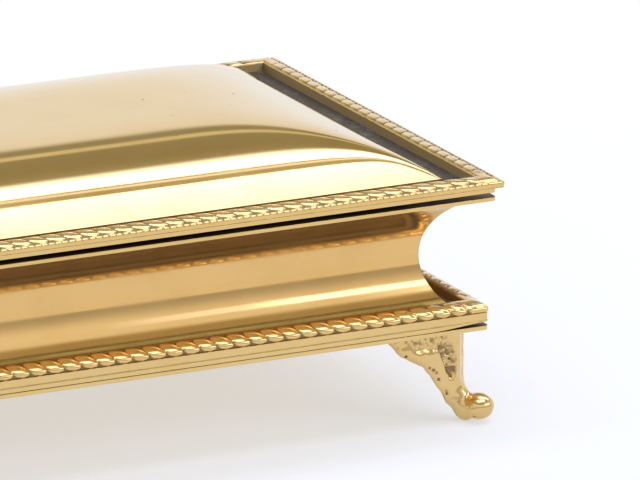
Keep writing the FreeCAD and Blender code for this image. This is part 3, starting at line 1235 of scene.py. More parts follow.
@dataclass
class LidDome:
    """Pressed pillow on the lid plate, a thin sheet open below.

    Attributes:
        lip: Upright edge at its foot.
        sheet: Thickness of the sheet.
        power: Flatness of its middle from front to back.
        end_power: Flatness towards its ends.
        end_length: Length over which its ends fall.
        hip: Sharpness of the turn from a long side to an end.
        flank: Share of the half depth where the front and back flanks begin.
        flank_slope: Slope at their foot.
        wave: Height of the unevenness left by the press.
        dents: Pattern of that unevenness.
        columns: Points along X.
        rows: Points along Y.
    """

    lip: float = 0.12 * MM
    sheet: float = 0.8 * MM
    power: float = 4.77
    end_power: float = 4.0
    end_length: float = 70.5 * MM
    hip: float = 6.0
    flank: float = 0.9
    flank_slope: float = 3.95
    wave: float = 0.014 * MM
    dents: Ripple = Ripple(3, 26.0 * MM)
    columns: int = 201
    rows: int = 161

    def build(self, finish: bpy.types.Material) -> None:
        """Make the dome.

        Args:
            finish: Its material.
        """
        low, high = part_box("lid_dome")
        outer = self._skin(high.x, high.y, low.z, high.z - low.z)
        inner = self._skin(high.x - self.sheet, high.y - self.sheet, low.z, high.z - low.z - self.sheet)
        count = len(outer)
        faces = grid_faces(self.rows, self.columns, False) + grid_faces(self.rows, self.columns, False, count)
        number = np.arange(count).reshape(self.rows, self.columns)
        border = np.concatenate([number[0, :-1], number[:-1, -1], number[-1, :0:-1], number[:0:-1, 0]])
        after = np.roll(border, -1)
        faces += np.stack([border, after, after + count, border + count], axis=1).tolist()
        piece = make_piece("lid_dome_pressed", np.concatenate([outer, inner]), faces)
        hand_over(piece, Body.LID, Slot.POLISHED, finish, "lid_dome")

    def _skin(self, half_x: float, half_y: float, foot: float, rise: float) -> np.ndarray:
        """Points of one face of the sheet.

        Args:
            half_x: Half length at the foot.
            half_y: Half depth at the foot.
            foot: Height of the foot.
            rise: Height of the crown above the foot.

        Returns:
            Points of the grid, one per row.
        """
        x = half_x * np.sin(np.linspace(-1.0, 1.0, self.columns) * math.pi / 2)
        y = half_y * np.sin(np.linspace(-1.0, 1.0, self.rows) * math.pi / 2)
        share_x = np.clip(1.0 - (half_x - np.abs(x)) / self.end_length, 0.0, 1.0)
        share_y = np.abs(y) / half_y
        fall_x = 1.0 - share_x ** self.end_power
        fall_y = self._side(share_y)[:, None]
        both = fall_x * fall_y
        either = fall_x ** self.hip + fall_y ** self.hip - both ** self.hip
        fall = both / np.maximum(either, TINY) ** (1.0 / self.hip)
        points = np.stack([*np.meshgrid(x, y), np.zeros_like(fall)], axis=-1)
        uneven = self.wave * fall * self.dents.at(points)
        edge = np.zeros_like(fall)
        edge[1:-1, 1:-1] = self.lip
        points[..., 2] = foot + edge + (rise - self.lip - self.wave) * fall + uneven
        points[[0, -1], :, 2] = foot
        points[:, [0, -1], 2] = foot
        return points.reshape(-1, 3)

    def _side(self, share: np.ndarray) -> np.ndarray:
        """Rounding from front to back: a flat crown between two straighter flanks.

        Args:
            share: Place from the middle, 1 at the foot.

        Returns:
            Share of the full height.
        """
        crown = 1.0 - np.minimum(share, self.flank) ** self.power
        slope = self.power * self.flank ** (self.power - 1.0)
        down = np.maximum(share - self.flank, 0.0)
        return crown - slope * down - (self.flank_slope - slope) / (2.0 - 2.0 * self.flank) * down ** 2


@dataclass
class Plates:
    """Flat sheets of the box: lid plate, rim plate and bottom plate.

    Attributes:
        edge: Radius of their edges.
        corner: Radius of their corners in plan.
        notch_margin: Clearance of a hinge barrel in the back edge of a plate.
        rim_shade: Darkness painted onto the rim plate's top, as painted shade in the gap under the lid.
    """

    edge: float = 0.16 * MM
    corner: float = 1.4 * MM
    notch_margin: float = 0.3 * MM
    rim_shade: float = 0.9

    def build(self, finishes: Finishes) -> None:
        """Make the three plates.

        Args:
            finishes: All materials of the box.
        """
        margin = Vector((self.notch_margin, self.notch_margin, 0.0))
        opening = rectangle(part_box("liner_front")[0] - margin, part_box("liner_back")[1] + margin)
        self._sheet("lid_plate", Body.LID, finishes.channel, self._notched("lid_plate"))
        rim = self._notched("rim_plate")
        # The rim plate's top is painted dark, as painted shade in the gap under the lid.
        self._sheet("rim_plate", Body.CASE, finishes.sheet, rim, opening, self.rim_shade)
        bottom = rectangle(*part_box("bottom_plate"), self.corner)
        self._sheet("bottom_plate", Body.CASE, finishes.sheet, bottom)

    def _sheet(
            self, node: str, body: Body, finish: bpy.types.Material, outline: list, hole: list | None = None,
            stain: float = 1.0) -> None:
        """Make one plate, dark on top.

        Args:
            node: Node that it stands for.
            body: Body that it moves with.
            finish: Its material.
            outline: Points of its outline in plan.
            hole: Points of its opening.
            stain: Darkness of its top.
        """
        low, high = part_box(node)
        piece = plate(node + "_sheet", outline, hole or [], low.z, high.z, self.edge)
        heights = np.array([vertex.co.z for vertex in piece.data.vertices])
        add_recess(piece, stain * smoothstep(high.z - self.edge, high.z, heights))
        hand_over(piece, body, Slot.SHEET, finish, node)

    def _notched(self, node: str) -> list:
        """Outline of a plate with room for the hinge barrels in its back edge.

        Args:
            node: Node of the plate.

        Returns:
            Points in plan, counter-clockwise.
        """
        low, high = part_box(node)
        corners = rectangle(low, high, self.corner)
        notches = []
        for name in ("right", "left"):
            pin_low, pin_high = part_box("hinge_%s_pin" % name)
            middle = (pin_low.y + pin_high.y) / 2
            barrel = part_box("hinge_%s_case_leaf" % name)[1].y - middle
            floor = middle - barrel - self.notch_margin
            left = pin_low.x - self.notch_margin
            right = pin_high.x + self.notch_margin
            notches += [(right, high.y), (right, floor), (left, floor), (left, high.y)]
        back = 3 * ROUND_STEPS
        return corners[:back] + notches + corners[back:]


@dataclass
class Walls:
    """Four deep hollow walls of polished sheet, mitred at the corners.

    Levels are shares of the wall's height, 0 at its foot and 1 at its top.

    Attributes:
        foot_setback: Inset of the outer face at its foot, from the edge of the lid.
        hollow: Depth of the hollow from its chord.
        sheet: Thickness of the sheet.
        wave: Height of the unevenness of the sheet.
        dents: Pattern of that unevenness.
        solder: Length from the mitre that solder has stained by the top.
        solder_top: Levels where that length starts and is full.
        solder_middle: Share of that length between top and foot.
        solder_foot: Levels where the stain widens again at the foot and is full.
        solder_low: Share of the length that is added there.
        solder_fade: Shares of the length where the stain ends and is full.
        solder_stain: Darkness of that stain.
        solder_edge: Pattern of its ragged edge.
        solder_ragged: Unevenness of that edge.
        painted_shade: Darkness of the painted shade on the upper wall below the rim, deepening its dark
            reflection; the foot is painted fully dark, as painted shade where it meets the base moulding.
        painted_shade_levels: Levels where that painted shade below the rim starts and is full.
        foot_shade_levels: Levels where the painted shade at the foot starts and is full.
        points: Points across the outer face.
        places: Points along a wall.
    """

    foot_setback: float = 10.1 * MM
    hollow: float = 9.0 * MM
    sheet: float = 1.0 * MM
    wave: float = 0.02 * MM
    dents: Ripple = Ripple(11, 14.0 * MM)
    solder: float = 4.5 * MM
    solder_top: tuple[float, float] = (0.62, 0.95)
    solder_middle: float = 0.25
    solder_foot: tuple[float, float] = (0.14, 0.02)
    solder_low: float = 0.7
    solder_fade: tuple[float, float] = (1.0, 0.2)
    solder_stain: float = 0.4
    solder_edge: Ripple = Ripple(5, 2.2 * MM)
    solder_ragged: float = 0.6
    painted_shade: float = 0.40
    painted_shade_levels: tuple[float, float] = (0.58, 0.74)
    foot_shade_levels: tuple[float, float] = (0.09, 0.05)
    points: int = 73
    places: int = 141

    def build(self, finish: bpy.types.Material) -> None:
        """Make the four walls.

        Args:
            finish: Their material.
        """
        half = (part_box("lid_moulding_right")[1].x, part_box("lid_moulding_back")[1].y)
        low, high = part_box("wall_front")
        top_inset = half[1] + low.y
        inset, height = self._face(top_inset, low.z, high.z, 0.0)
        back_inset, back_height = self._face(top_inset, low.z, high.z, self.sheet)
        levels = np.broadcast_to(np.concatenate([height, back_height[::-1]]), (self.places, 2 * self.points))
        share = np.linspace(-1.0, 1.0, self.places)
        for side in Side:
            half_run = side.half_run(half)
            run = share[:, None] * (half_run - inset)
            across = np.full(run.shape, sum(side.value))
            spots = np.stack([run, np.broadcast_to(height, run.shape), across], axis=-1)
            front = inset + self.wave * self.dents.at(spots)
            section = np.concatenate([front, np.broadcast_to(back_inset[::-1], front.shape)], axis=1)
            node = "wall_" + side.word
            piece = mitred(node + "_sheet", side, half, share, section, levels)
            # Solder stain and painted shade of the wall.
            stain = self._stain(run, half_run - inset, height, spots)
            add_recess(piece, np.concatenate([stain, np.zeros_like(run)], axis=1))
            hand_over(piece, Body.CASE, Slot.POLISHED, finish, node)

    def _face(self, top_inset: float, foot: float, top: float, back: float) -> tuple[np.ndarray, np.ndarray]:
        """Points down one face of a wall.

        Args:
            top_inset: Inset of the outer face at the top.
            foot: Height of the foot.
            top: Height of the top.
            back: Distance behind the outer face.

        Returns:
            Inset and height of each point, from the top down.
        """
        chord_in = self.foot_setback - top_inset
        chord_drop = top - foot
        chord = math.hypot(chord_in, chord_drop)
        radius = (chord * chord / 4 + self.hollow ** 2) / (2 * self.hollow)
        offset = radius - self.hollow
        centre_inset = (top_inset + self.foot_setback) / 2 - offset * chord_drop / chord
        centre_height = (top + foot) / 2 - offset * chord_in / chord
        reach = radius + back
        first = math.asin((top - centre_height) / reach)
        last = math.asin((foot - centre_height) / reach)
        turn = np.linspace(first, last, self.points)
        return centre_inset + reach * np.cos(turn), centre_height + reach * np.sin(turn)

    def _stain(self, run: np.ndarray, end: np.ndarray, height: np.ndarray, spots: np.ndarray) -> np.ndarray:
        """Stain of the solder along the mitres, with painted shade below the rim and at the foot.

        Args:
            run: Place along the wall.
            end: Place of the mitre.
            height: Height of each point of the section.
            spots: The same points in space.

        Returns:
            Values from 0 to 1.
        """
        level = (height - height.min()) / (height.max() - height.min())
        top = smoothstep(*self.solder_top, level)
        low = self.solder_low * smoothstep(*self.solder_foot, level)
        reach = self.solder * (self.solder_middle + top + low)
        ragged = 1.0 + self.solder_ragged * self.solder_edge.at(spots)
        solder = self.solder_stain * smoothstep(*self.solder_fade, (end - np.abs(run)) / (reach * ragged))
        # Painted shade: darker below the rim, and fully dark at the foot.
        painted_shade = self.painted_shade * smoothstep(*self.painted_shade_levels, level) + smoothstep(*self.foot_shade_levels, level)
        return np.maximum(solder, painted_shade)


# Feet


Field = Callable[[np.ndarray], np.ndarray]


class CastSurface:
    """Closed mesh round the negative side of a field, found on a grid of cubes."""

    SETTLE_ROUNDS = 2
    SETTLE_PROBE = 0.2
    SETTLE_LIMIT = 0.6
    FLATTEST = 0.2
    EDGES = [
        (start, tuple(np.add(start, step)))
        for axis, step in enumerate(((1, 0, 0), (0, 1, 0), (0, 0, 1)))
        for start in np.ndindex(2, 2, 2) if start[axis] == 0]

    def __init__(self, low: tuple, high: tuple, cell: float) -> None:
        """Lay out the grid.

        Args:
            low: Lowest corner of the grid.
            high: Highest corner of the grid.
            cell: Size of one cube.
        """
        self.low = np.array(low)
        self.cell = cell
        axes = [np.arange(start, end + cell, cell) for start, end in zip(low, high)]
        self.grid = np.stack(np.meshgrid(*axes, indexing="ij"), axis=-1)

    def mesh(self, field: Field) -> tuple[np.ndarray, list]:
        """Find the surface.

        Args:
            field: Function that gives the distance outside the surface at points in space.

        Returns:
            Points and quads.
        """
        value = field(self.grid)
        size = np.array(value.shape) - 1

        def corner(step: tuple) -> np.ndarray:
            """Values at one corner of all cubes."""
            return value[tuple(slice(s, s + n) for s, n in zip(step, size))]

        inside = sum((corner(step) < 0).astype(int) for step in np.ndindex(2, 2, 2))
        active = (inside > 0) & (inside < 8)
        number = np.full(active.shape, -1)
        number[active] = np.arange(active.sum())
        total = np.zeros((active.sum(), 3))
        count = np.zeros(active.sum())
        for start, end in self.EDGES:
            first = corner(start)[active]
            second = corner(end)[active]
            crossed = (first < 0) != (second < 0)
            share = np.where(crossed, first / np.where(crossed, first - second, 1.0), 0.0)
            spot = np.array(start) + share[:, None] * (np.array(end) - np.array(start))
            total += crossed[:, None] * spot
            count += crossed
        points = self.low + self.cell * (np.argwhere(active) + total / count[:, None])
        return self._settle(points, field), self._quads(value, number)

    def _settle(self, points: np.ndarray, field: Field) -> np.ndarray:
        """Move the points onto the surface.

        Args:
            points: Points near the surface.
            field: Function that gives the distance outside the surface.

        Returns:
            The moved points.
        """
        reach = self.SETTLE_PROBE * self.cell
        limit = self.SETTLE_LIMIT * self.cell
        for _ in range(self.SETTLE_ROUNDS):
            here = field(points)
            slope = np.stack([(field(points + reach * axis) - here) / reach for axis in np.eye(3)], axis=-1)
            steep = np.maximum((slope ** 2).sum(-1), self.FLATTEST)
            move = -(here / steep)[:, None] * slope
            points = points + np.clip(move, -limit, limit)
        return points

    @staticmethod
    def _quads(value: np.ndarray, number: np.ndarray) -> list:
        """Quads round the grid edges that the surface crosses.

        Args:
            value: Field at the grid's corners.
            number: Number of the point in each cube, or -1.

        Returns:
            Corner numbers of each quad.
        """
        quads = []
        for axis in range(3):
            turned = np.moveaxis(value, axis, 0)
            cubes = np.moveaxis(number, axis, 0)
            crossed = (turned[:-1] < 0) != (turned[1:] < 0)
            i, j, k = np.nonzero(crossed[:, 1:-1, 1:-1])
            corners = ((j, k), (j + 1, k), (j + 1, k + 1), (j, k + 1))
            ring = np.stack([cubes[i, row, column] for row, column in corners], axis=1)
            quads += ring[(ring >= 0).all(axis=1)].tolist()
        return quads


def merge(first: np.ndarray, second: np.ndarray, width: float) -> np.ndarray:
    """Union of two fields with a rounded inner corner.

    Args:
        first: One field.
        second: The other field.
        width: Width of the rounding.

    Returns:
        The joined field.
    """
    share = np.clip(0.5 + 0.5 * (second - first) / width, 0.0, 1.0)
    return second + (first - second) * share - width * share * (1.0 - share)


def taper(points: np.ndarray, start: tuple, end: tuple, first: float, last: float) -> np.ndarray:
    """Field of a round bar that tapers from one ball to another.

    Args:
        points: Points in space.
        start: Centre of the first ball.
        end: Centre of the last ball.
        first: Radius of the first ball.
        last: Radius of the last ball.

    Returns:
        Distance outside the bar.
    """
    axis = np.array(end) - np.array(start)
    offset = points - np.array(start)
    share = np.clip(offset @ axis / (axis @ axis), 0.0, 1.0)
    return np.linalg.norm(offset - share[..., None] * axis, axis=-1) - (first + (last - first) * share)


def both_ways(points: np.ndarray) -> tuple[tuple[np.ndarray, ...], ...]:
    """Inset along a side, inset square to it and height, for each of a foot's two sides."""
    first, second, height = np.moveaxis(points, -1, 0)
    return (first, second, height), (second, first, height)


@dataclass
class CastFoot:
    """Cabriole foot on the corner diagonal, cast in one rough mould and rubbed bright on its ribs.

    Its own coordinates are the two insets from the base corner and the height. In the plane of the
    diagonal, a place is given by its inset along the diagonal and its height.

    Attributes:
        height: Height of the foot.
        toe: Inset and height of the toe's middle.
        toe_half: Half length, half width and half height of the toe.
        toe_room: Distance that the toe may stand out from the base corner.
        heel: Inset and height of the heel.
        heel_radius: Radius there.
        ankle: Inset and height of the ankle.
        ankle_radius: Radius there.
        calf: Inset and height of the calf.
        calf_radius: Radius there.
        crest: Inset of the upright outer ridge.
        crest_radius: Radius of that ridge.
        face: Inset of a wing's outer face.
        wing: Thickness of a wing.
        skew: How much shorter a wing is towards its back, by its thickness.
        wing_foot: Inset along the side and height of the corners of a wing's lower edge.
        ridge: Height and inset along the side of the edge between the outer ridge and the hollow.
        rib: Inset, slope and height of a point on the rib at the hollow's other side.
        hollow_foot: Heights where the hollow starts and is full.
        hollow_top: Heights where the hollow ends and is still full.
        band: Height, slope and inset of a point on the lower edge of the rough band.
        band_start: Insets where the rough band starts and is full.
        blowholes: Inset along the side, height and radius of the largest pits.
        fold: Inset and height of the fold above the toe, pressed in and painted darker as painted shade.
        lump: Height of the casting's unevenness.
        ragged: Width of the uneven edges of the hollows.
        recess: Depth of the rough hollows beside the ribs.
        pit: Depth of the largest casting pits.
        cell: Size of the cubes that the surface is found on.
    """

    LEG_BLEND = 1.0 * MM
    CREST_BLEND = 1.2 * MM
    WING_BLEND = 1.6 * MM
    WING_EDGE = 2.2 * MM
    LUMPS = Ripple(25, 2.6 * MM)
    EDGES = Ripple(23, 1.6 * MM)
    FINE_PITS = Ripple(21, 0.8 * MM)
    HOLE_EDGES = Ripple(24, 0.7 * MM)
    FACE_DEPTH = (2.2 * MM, 1.2 * MM)
    HOLE_DEPTH = (3.0 * MM, 2.0 * MM)
    BAND_EDGE = (-0.6 * MM, 1.4 * MM)
    RIDGE_EDGE = (-0.5 * MM, 0.6 * MM)
    RIB_EDGE = (0.5 * MM, -0.7 * MM)
    FOLD_SIDE = (0.8 * MM, 2.4 * MM)
    FOLD_REACH = (2.0 * MM, 0.2 * MM)
    PIT_NOISE = (-0.1, 0.55)
    INWARD = (0.3, 0.85)
    WING_SLOPE = 0.75
    BAND_SHARE = 0.55
    ROUGH_STAIN = 0.5
    PIT_STAIN = 0.95
    INWARD_DARKNESS = 0.85
    SMOOTH = 180.0

    height: float
    toe: tuple[float, float] = (2.6 * MM, 4.0 * MM)
    toe_half: Triple = (4.0 * MM, 3.9 * MM, 3.35 * MM)
    toe_room: float = 2.7 * MM
    heel: tuple[float, float] = (5.9 * MM, 3.0 * MM)
    heel_radius: float = 3.0 * MM
    ankle: tuple[float, float] = (10.5 * MM, 9.8 * MM)
    ankle_radius: float = 2.9 * MM
    calf: tuple[float, float] = (11.6 * MM, 16.5 * MM)
    calf_radius: float = 3.6 * MM
    crest: float = 9.6 * MM
    crest_radius: float = 2.0 * MM
    face: float = 4.3 * MM
    wing: float = 4.2 * MM
    skew: float = 0.62
    wing_foot: tuple[tuple[float, ...], ...] = in_mm(
        (9.9, 5.0), (12.5, 8.9), (14.9, 12.7), (17.1, 15.1), (19.0, 16.4), (21.0, 17.2), (23.4, 18.8),
        (28.4, 23.6))
    ridge: tuple[tuple[float, ...], ...] = in_mm(
        (11.5, 8.3), (13.8, 7.3), (17.0, 7.0), (20.6, 8.5), (24.8, 10.5))
    rib: Triple = (9.0 * MM, 0.38, 11.5 * MM)
    hollow_foot: tuple[float, float] = (11.0 * MM, 12.4 * MM)
    hollow_top: tuple[float, float] = (23.0 * MM, 20.5 * MM)
    band: Triple = (19.4 * MM, 0.17, 16.5 * MM)
    band_start: tuple[float, float] = (9.0 * MM, 11.5 * MM)
    blowholes: tuple[tuple[float, ...], ...] = in_mm(
        (14.7, 15.1, 0.6), (13.6, 14.4, 0.75), (12.8, 13.7, 0.5), (12.1, 11.7, 0.6), (9.6, 7.6, 0.55),
        (21.5, 19.0, 0.5))
    fold: tuple[float, float] = (6.8 * MM, 6.0 * MM)
    lump: float = 0.16 * MM
    ragged: float = 0.35 * MM
    recess: float = 0.55 * MM
    pit: float = 0.38 * MM
    cell: float = 0.3 * MM

    def build(self, finish: bpy.types.Material) -> None:
        """Make the four feet from one casting.

        Args:
            finish: Their material.
        """
        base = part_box("bottom_plate")[1]
        margin = 3 * self.cell
        reach = self.wing_foot[-1][0] + margin
        low = (-self.toe_room, -self.toe_room, -margin)
        surface = CastSurface(low, (reach, reach, self.height + margin), self.cell)
        points, faces = surface.mesh(self.field)
        recess = np.maximum(self.ROUGH_STAIN * self.rough(points), self.PIT_STAIN * self.pits(points))
        # Faces towards the inside of the box are made darker too.
        recess = np.maximum(recess, self.hidden(points))
        for corner in Corner:
            signs = np.array([*corner.value, 1.0])
            placed = signs * np.stack([base.x - points[:, 0], base.y - points[:, 1], points[:, 2]], axis=1)
            word = "foot_" + corner.name.lower()
            piece = make_piece(word + "_cast", placed, faces, self.SMOOTH)
            add_recess(piece, recess)
            hand_over(piece, Body.CASE, Slot.CAST, finish, word)

    def field(self, points: np.ndarray) -> np.ndarray:
        """Distance outside the foot.

        Args:
            points: Points as two insets and a height.

        Returns:
            Distance of each point, less than 0 inside.
        """
        first, second, height = np.moveaxis(points, -1, 0)
        diagonal = np.stack(
            [(first + second) / math.sqrt(2), (first - second) / math.sqrt(2), height], axis=-1)
        scaled = (diagonal - np.array([self.toe[0], 0.0, self.toe[1]])) / np.array(self.toe_half)
        span = np.linalg.norm(scaled, axis=-1)
        body = (span - 1.0) * min(self.toe_half)
        heel, ankle, calf = ((inset, 0.0, level) for inset, level in (self.heel, self.ankle, self.calf))
        foot = taper(diagonal, heel, ankle, self.heel_radius, self.ankle_radius)
        leg = taper(diagonal, ankle, calf, self.ankle_radius, self.calf_radius)
        body = merge(merge(body, foot, self.LEG_BLEND), leg, self.LEG_BLEND)
        crest = taper(
            diagonal, (self.crest, 0.0, self.ankle[1]), (self.crest, 0.0, self.height),
            self.crest_radius, self.crest_radius)
        body = merge(body, crest, self.CREST_BLEND)
        for run, depth, level in both_ways(points):
            body = merge(body, self.wing_field(run, depth, level), self.WING_BLEND)
        lumps = self.lump * self.LUMPS.at(points)
        body = body + lumps + self.recess * self.rough(points) + self.pit * self.pits(points)
        return np.maximum(np.maximum(body, -height), height - self.height)

    def wing_field(self, run: np.ndarray, depth: np.ndarray, height: np.ndarray) -> np.ndarray:
        """Distance outside one wing.

        Args:
            run: Inset along the side that the wing lies under.
            depth: Inset square to that side.
            height: Height.

        Returns:
            Distance of each point, less than 0 inside.
        """
        edge = np.array(self.wing_foot)
        behind = self.skew * np.maximum(depth - self.face, 0.0)
        below = self.WING_SLOPE * (np.interp(run + behind, edge[:, 0], edge[:, 1]) - height)
        beside = np.abs(depth - self.face - self.wing / 2) - self.wing / 2
        before = self.face + self.wing / 2 - run
        beyond = run - edge[-1, 0]
        sides = -merge(-below, -beside, self.WING_EDGE)
        return np.maximum(np.maximum(sides, before), beyond)

    def rough(self, points: np.ndarray) -> np.ndarray:
        """Where the mould's rough skin is left, between the ribs of the outer faces.

        Args:
            points: Points as two insets and a height.

        Returns:
            Values from 0 on the ribs to 1 in the hollows.
        """
        total = np.zeros(points.shape[:-1])
        uneven = self.ragged * self.EDGES.at(points)
        band_height, band_slope, band_inset = self.band
        rib_inset, rib_slope, rib_height = self.rib
        for run, depth, height in both_ways(points):
            outer = smoothstep(*np.add(self.face, self.FACE_DEPTH), depth)
            level = height - band_height - band_slope * (run - band_inset) + 2.0 * uneven
            band = self.BAND_SHARE * smoothstep(*self.BAND_EDGE, level) * smoothstep(*self.band_start, run)
            rib = rib_inset + rib_slope * (height - rib_height) + uneven
            ridge = np.interp(height, *np.array(self.ridge).T) + 0.5 * uneven
            notch = smoothstep(*(ridge + edge for edge in self.RIDGE_EDGE), run)
            inner = smoothstep(*(rib + edge for edge in self.RIB_EDGE), run)
            notch *= inner * smoothstep(*self.hollow_foot, height)
            notch *= smoothstep(*self.hollow_top, height)
            total = np.maximum(total, outer * np.maximum(band, notch))
        return total

    def pits(self, points: np.ndarray) -> np.ndarray:
        """Casting pits, close in the rough hollows, with some large ones, and the fold above the toe, pressed
        in and painted darker as painted shade.

        Args:
            points: Points as two insets and a height.

        Returns:
            Values from 0 to 1.
        """
        first, second, height = np.moveaxis(points, -1, 0)
        fine = self.rough(points) * smoothstep(*self.PIT_NOISE, self.FINE_PITS.at(points))
        total = np.maximum(fine, 0.0)
        ragged = self.HOLE_EDGES.at(points)
        for run, depth, level in both_ways(points):
            outer = smoothstep(*np.add(self.face, self.HOLE_DEPTH), depth)
            for hole_inset, hole_height, radius in self.blowholes:
                span = np.hypot(run - hole_inset, level - hole_height) + 0.25 * radius * ragged
                total = np.maximum(total, outer * smoothstep(radius, 0.3 * radius, span))
        # The fold above the toe is pressed in and painted darker, as painted shade.
        along = (first + second) / math.sqrt(2)
        beside = smoothstep(*self.FOLD_SIDE, np.abs(first - second) / math.sqrt(2))
        span = np.hypot(0.7 * (along - self.fold[0]), height - self.fold[1])
        return np.maximum(total, 0.5 * beside * smoothstep(*self.FOLD_REACH, span))

    def hidden(self, points: np.ndarray) -> np.ndarray:
        """Faces towards the inside of the box, made darker.

        Args:
            points: Points as two insets and a height.

        Returns:
            Values from 0 outside to INWARD_DARKNESS inside.
        """
        reach = 0.5 * self.cell
        here = self.field(points)
        slope = np.stack([self.field(points + reach * axis) - here for axis in np.eye(3)], axis=-1)
        inward = slope[:, :2].sum(axis=1) / np.maximum(math.sqrt(2) * np.linalg.norm(slope, axis=1), TINY)
        return self.INWARD_DARKNESS * smoothstep(*self.INWARD, inward)


# Lining and hinges


@dataclass
class Lining:
    """Thin cedar boards inside the box.

    Attributes:
        edge: Radius of their edges.
    """

    edge: float = 0.4 * MM

    def build(self, finishes: Finishes) -> None:
        """Make the five boards.

        Args:
            finishes: All materials of the box.
        """
        boards = {
            "liner_front": finishes.cedar_long, "liner_back": finishes.cedar_long,
            "liner_left": finishes.cedar_short, "liner_right": finishes.cedar_short,
            "liner_floor": finishes.cedar_long}
        for node, finish in boards.items():
            low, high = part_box(node)
            piece = plate(node + "_board", rectangle(low, high), [], low.z, high.z, self.edge)
            hand_over(piece, Body.CASE, Slot.CEDAR, finish, node)


@dataclass
class Hinges:
    """Two butt hinges and the screws of the feet, as the frame has them.

    Attributes:
        places: Names of the hinges.
    """

    places: tuple[str, ...] = ("left", "right")

    def build(self, finishes: Finishes) -> None:
        """Dress the leaves, pins and screws.

        Args:
            finishes: All materials of the box.
        """
        for place in self.places:
            for leaf in ("case_leaf", "lid_leaf"):
                dress_node("hinge_%s_%s" % (place, leaf), Slot.SHEET, finishes.sheet)
            dress_node("hinge_%s_pin" % place, Slot.STEEL, finishes.steel)
        dress_node("foot_screws", Slot.STEEL, finishes.steel)


# Studio


def staged(name: str, finish: str, points: list) -> tuple[bpy.types.Object, Graph]:
    """Four-cornered sheet that belongs to the studio, with an empty material.

    Args:
        name: Name of the sheet.
        finish: Name of its material.
        points: Its four corners.

    Returns:
        The new object and the graph of its material.
    """
    mesh = bpy.data.meshes.new(name)
    mesh.from_pydata([point.tolist() for point in points], [], [(0, 1, 2, 3)])
    sheet = link(name, mesh)
    material, graph = new_material(finish)
    mesh.materials.append(material)
    return sheet, graph


@dataclass
class Softbox:
    """Long lamp panel parallel to the box, seen in the brass but not by the camera.

    Attributes:
        name: Name of the panel.
        start: Angle of its first edge above the back horizon, in degrees.
        end: Angle of its last edge above the back horizon, in degrees.
        left: X of its left end.
        right: X of its right end.
        first: Brightness at its first edge.
        last: Brightness from the turn on.
        turn: Angle where that brightness is reached, in degrees.
        distance: Distance of its middle from the box.
        colour: Colour of its light.
    """

    name: str
    start: float
    end: float
    left: float
    right: float
    first: float
    last: float
    turn: float
    distance: float = 0.95
    colour: Colour = (0.96, 1.0, 1.28, 1.0)

    def build(self) -> None:
        """Make the panel."""
        middle = math.radians((self.start + self.end) / 2)
        half = self.distance * math.tan(math.radians((self.end - self.start) / 2))
        toward = np.array([0.0, math.cos(middle), math.sin(middle)])
        across = np.array([0.0, -math.sin(middle), math.cos(middle)])
        panel, graph = staged(self.name, self.name, [
            np.array([x, 0.0, 0.0]) + self.distance * toward + sign * half * across
            for x, sign in ((self.left, -1), (self.right, -1), (self.right, 1), (self.left, 1))])
        panel.visible_camera = False
        panel.visible_shadow = False
        where = graph.node("ShaderNodeSeparateXYZ", Vector=graph.place())
        angle = graph.math("ARCTAN2", where.outputs["Z"], where.outputs["Y"])
        strength = graph.ramp(angle, math.radians(self.start), math.radians(self.turn), self.first, self.last)
        lamp = graph.node("ShaderNodeEmission", Color=self.colour, Strength=strength)
        graph.node("ShaderNodeOutputMaterial", Surface=lamp.outputs["Emission"])


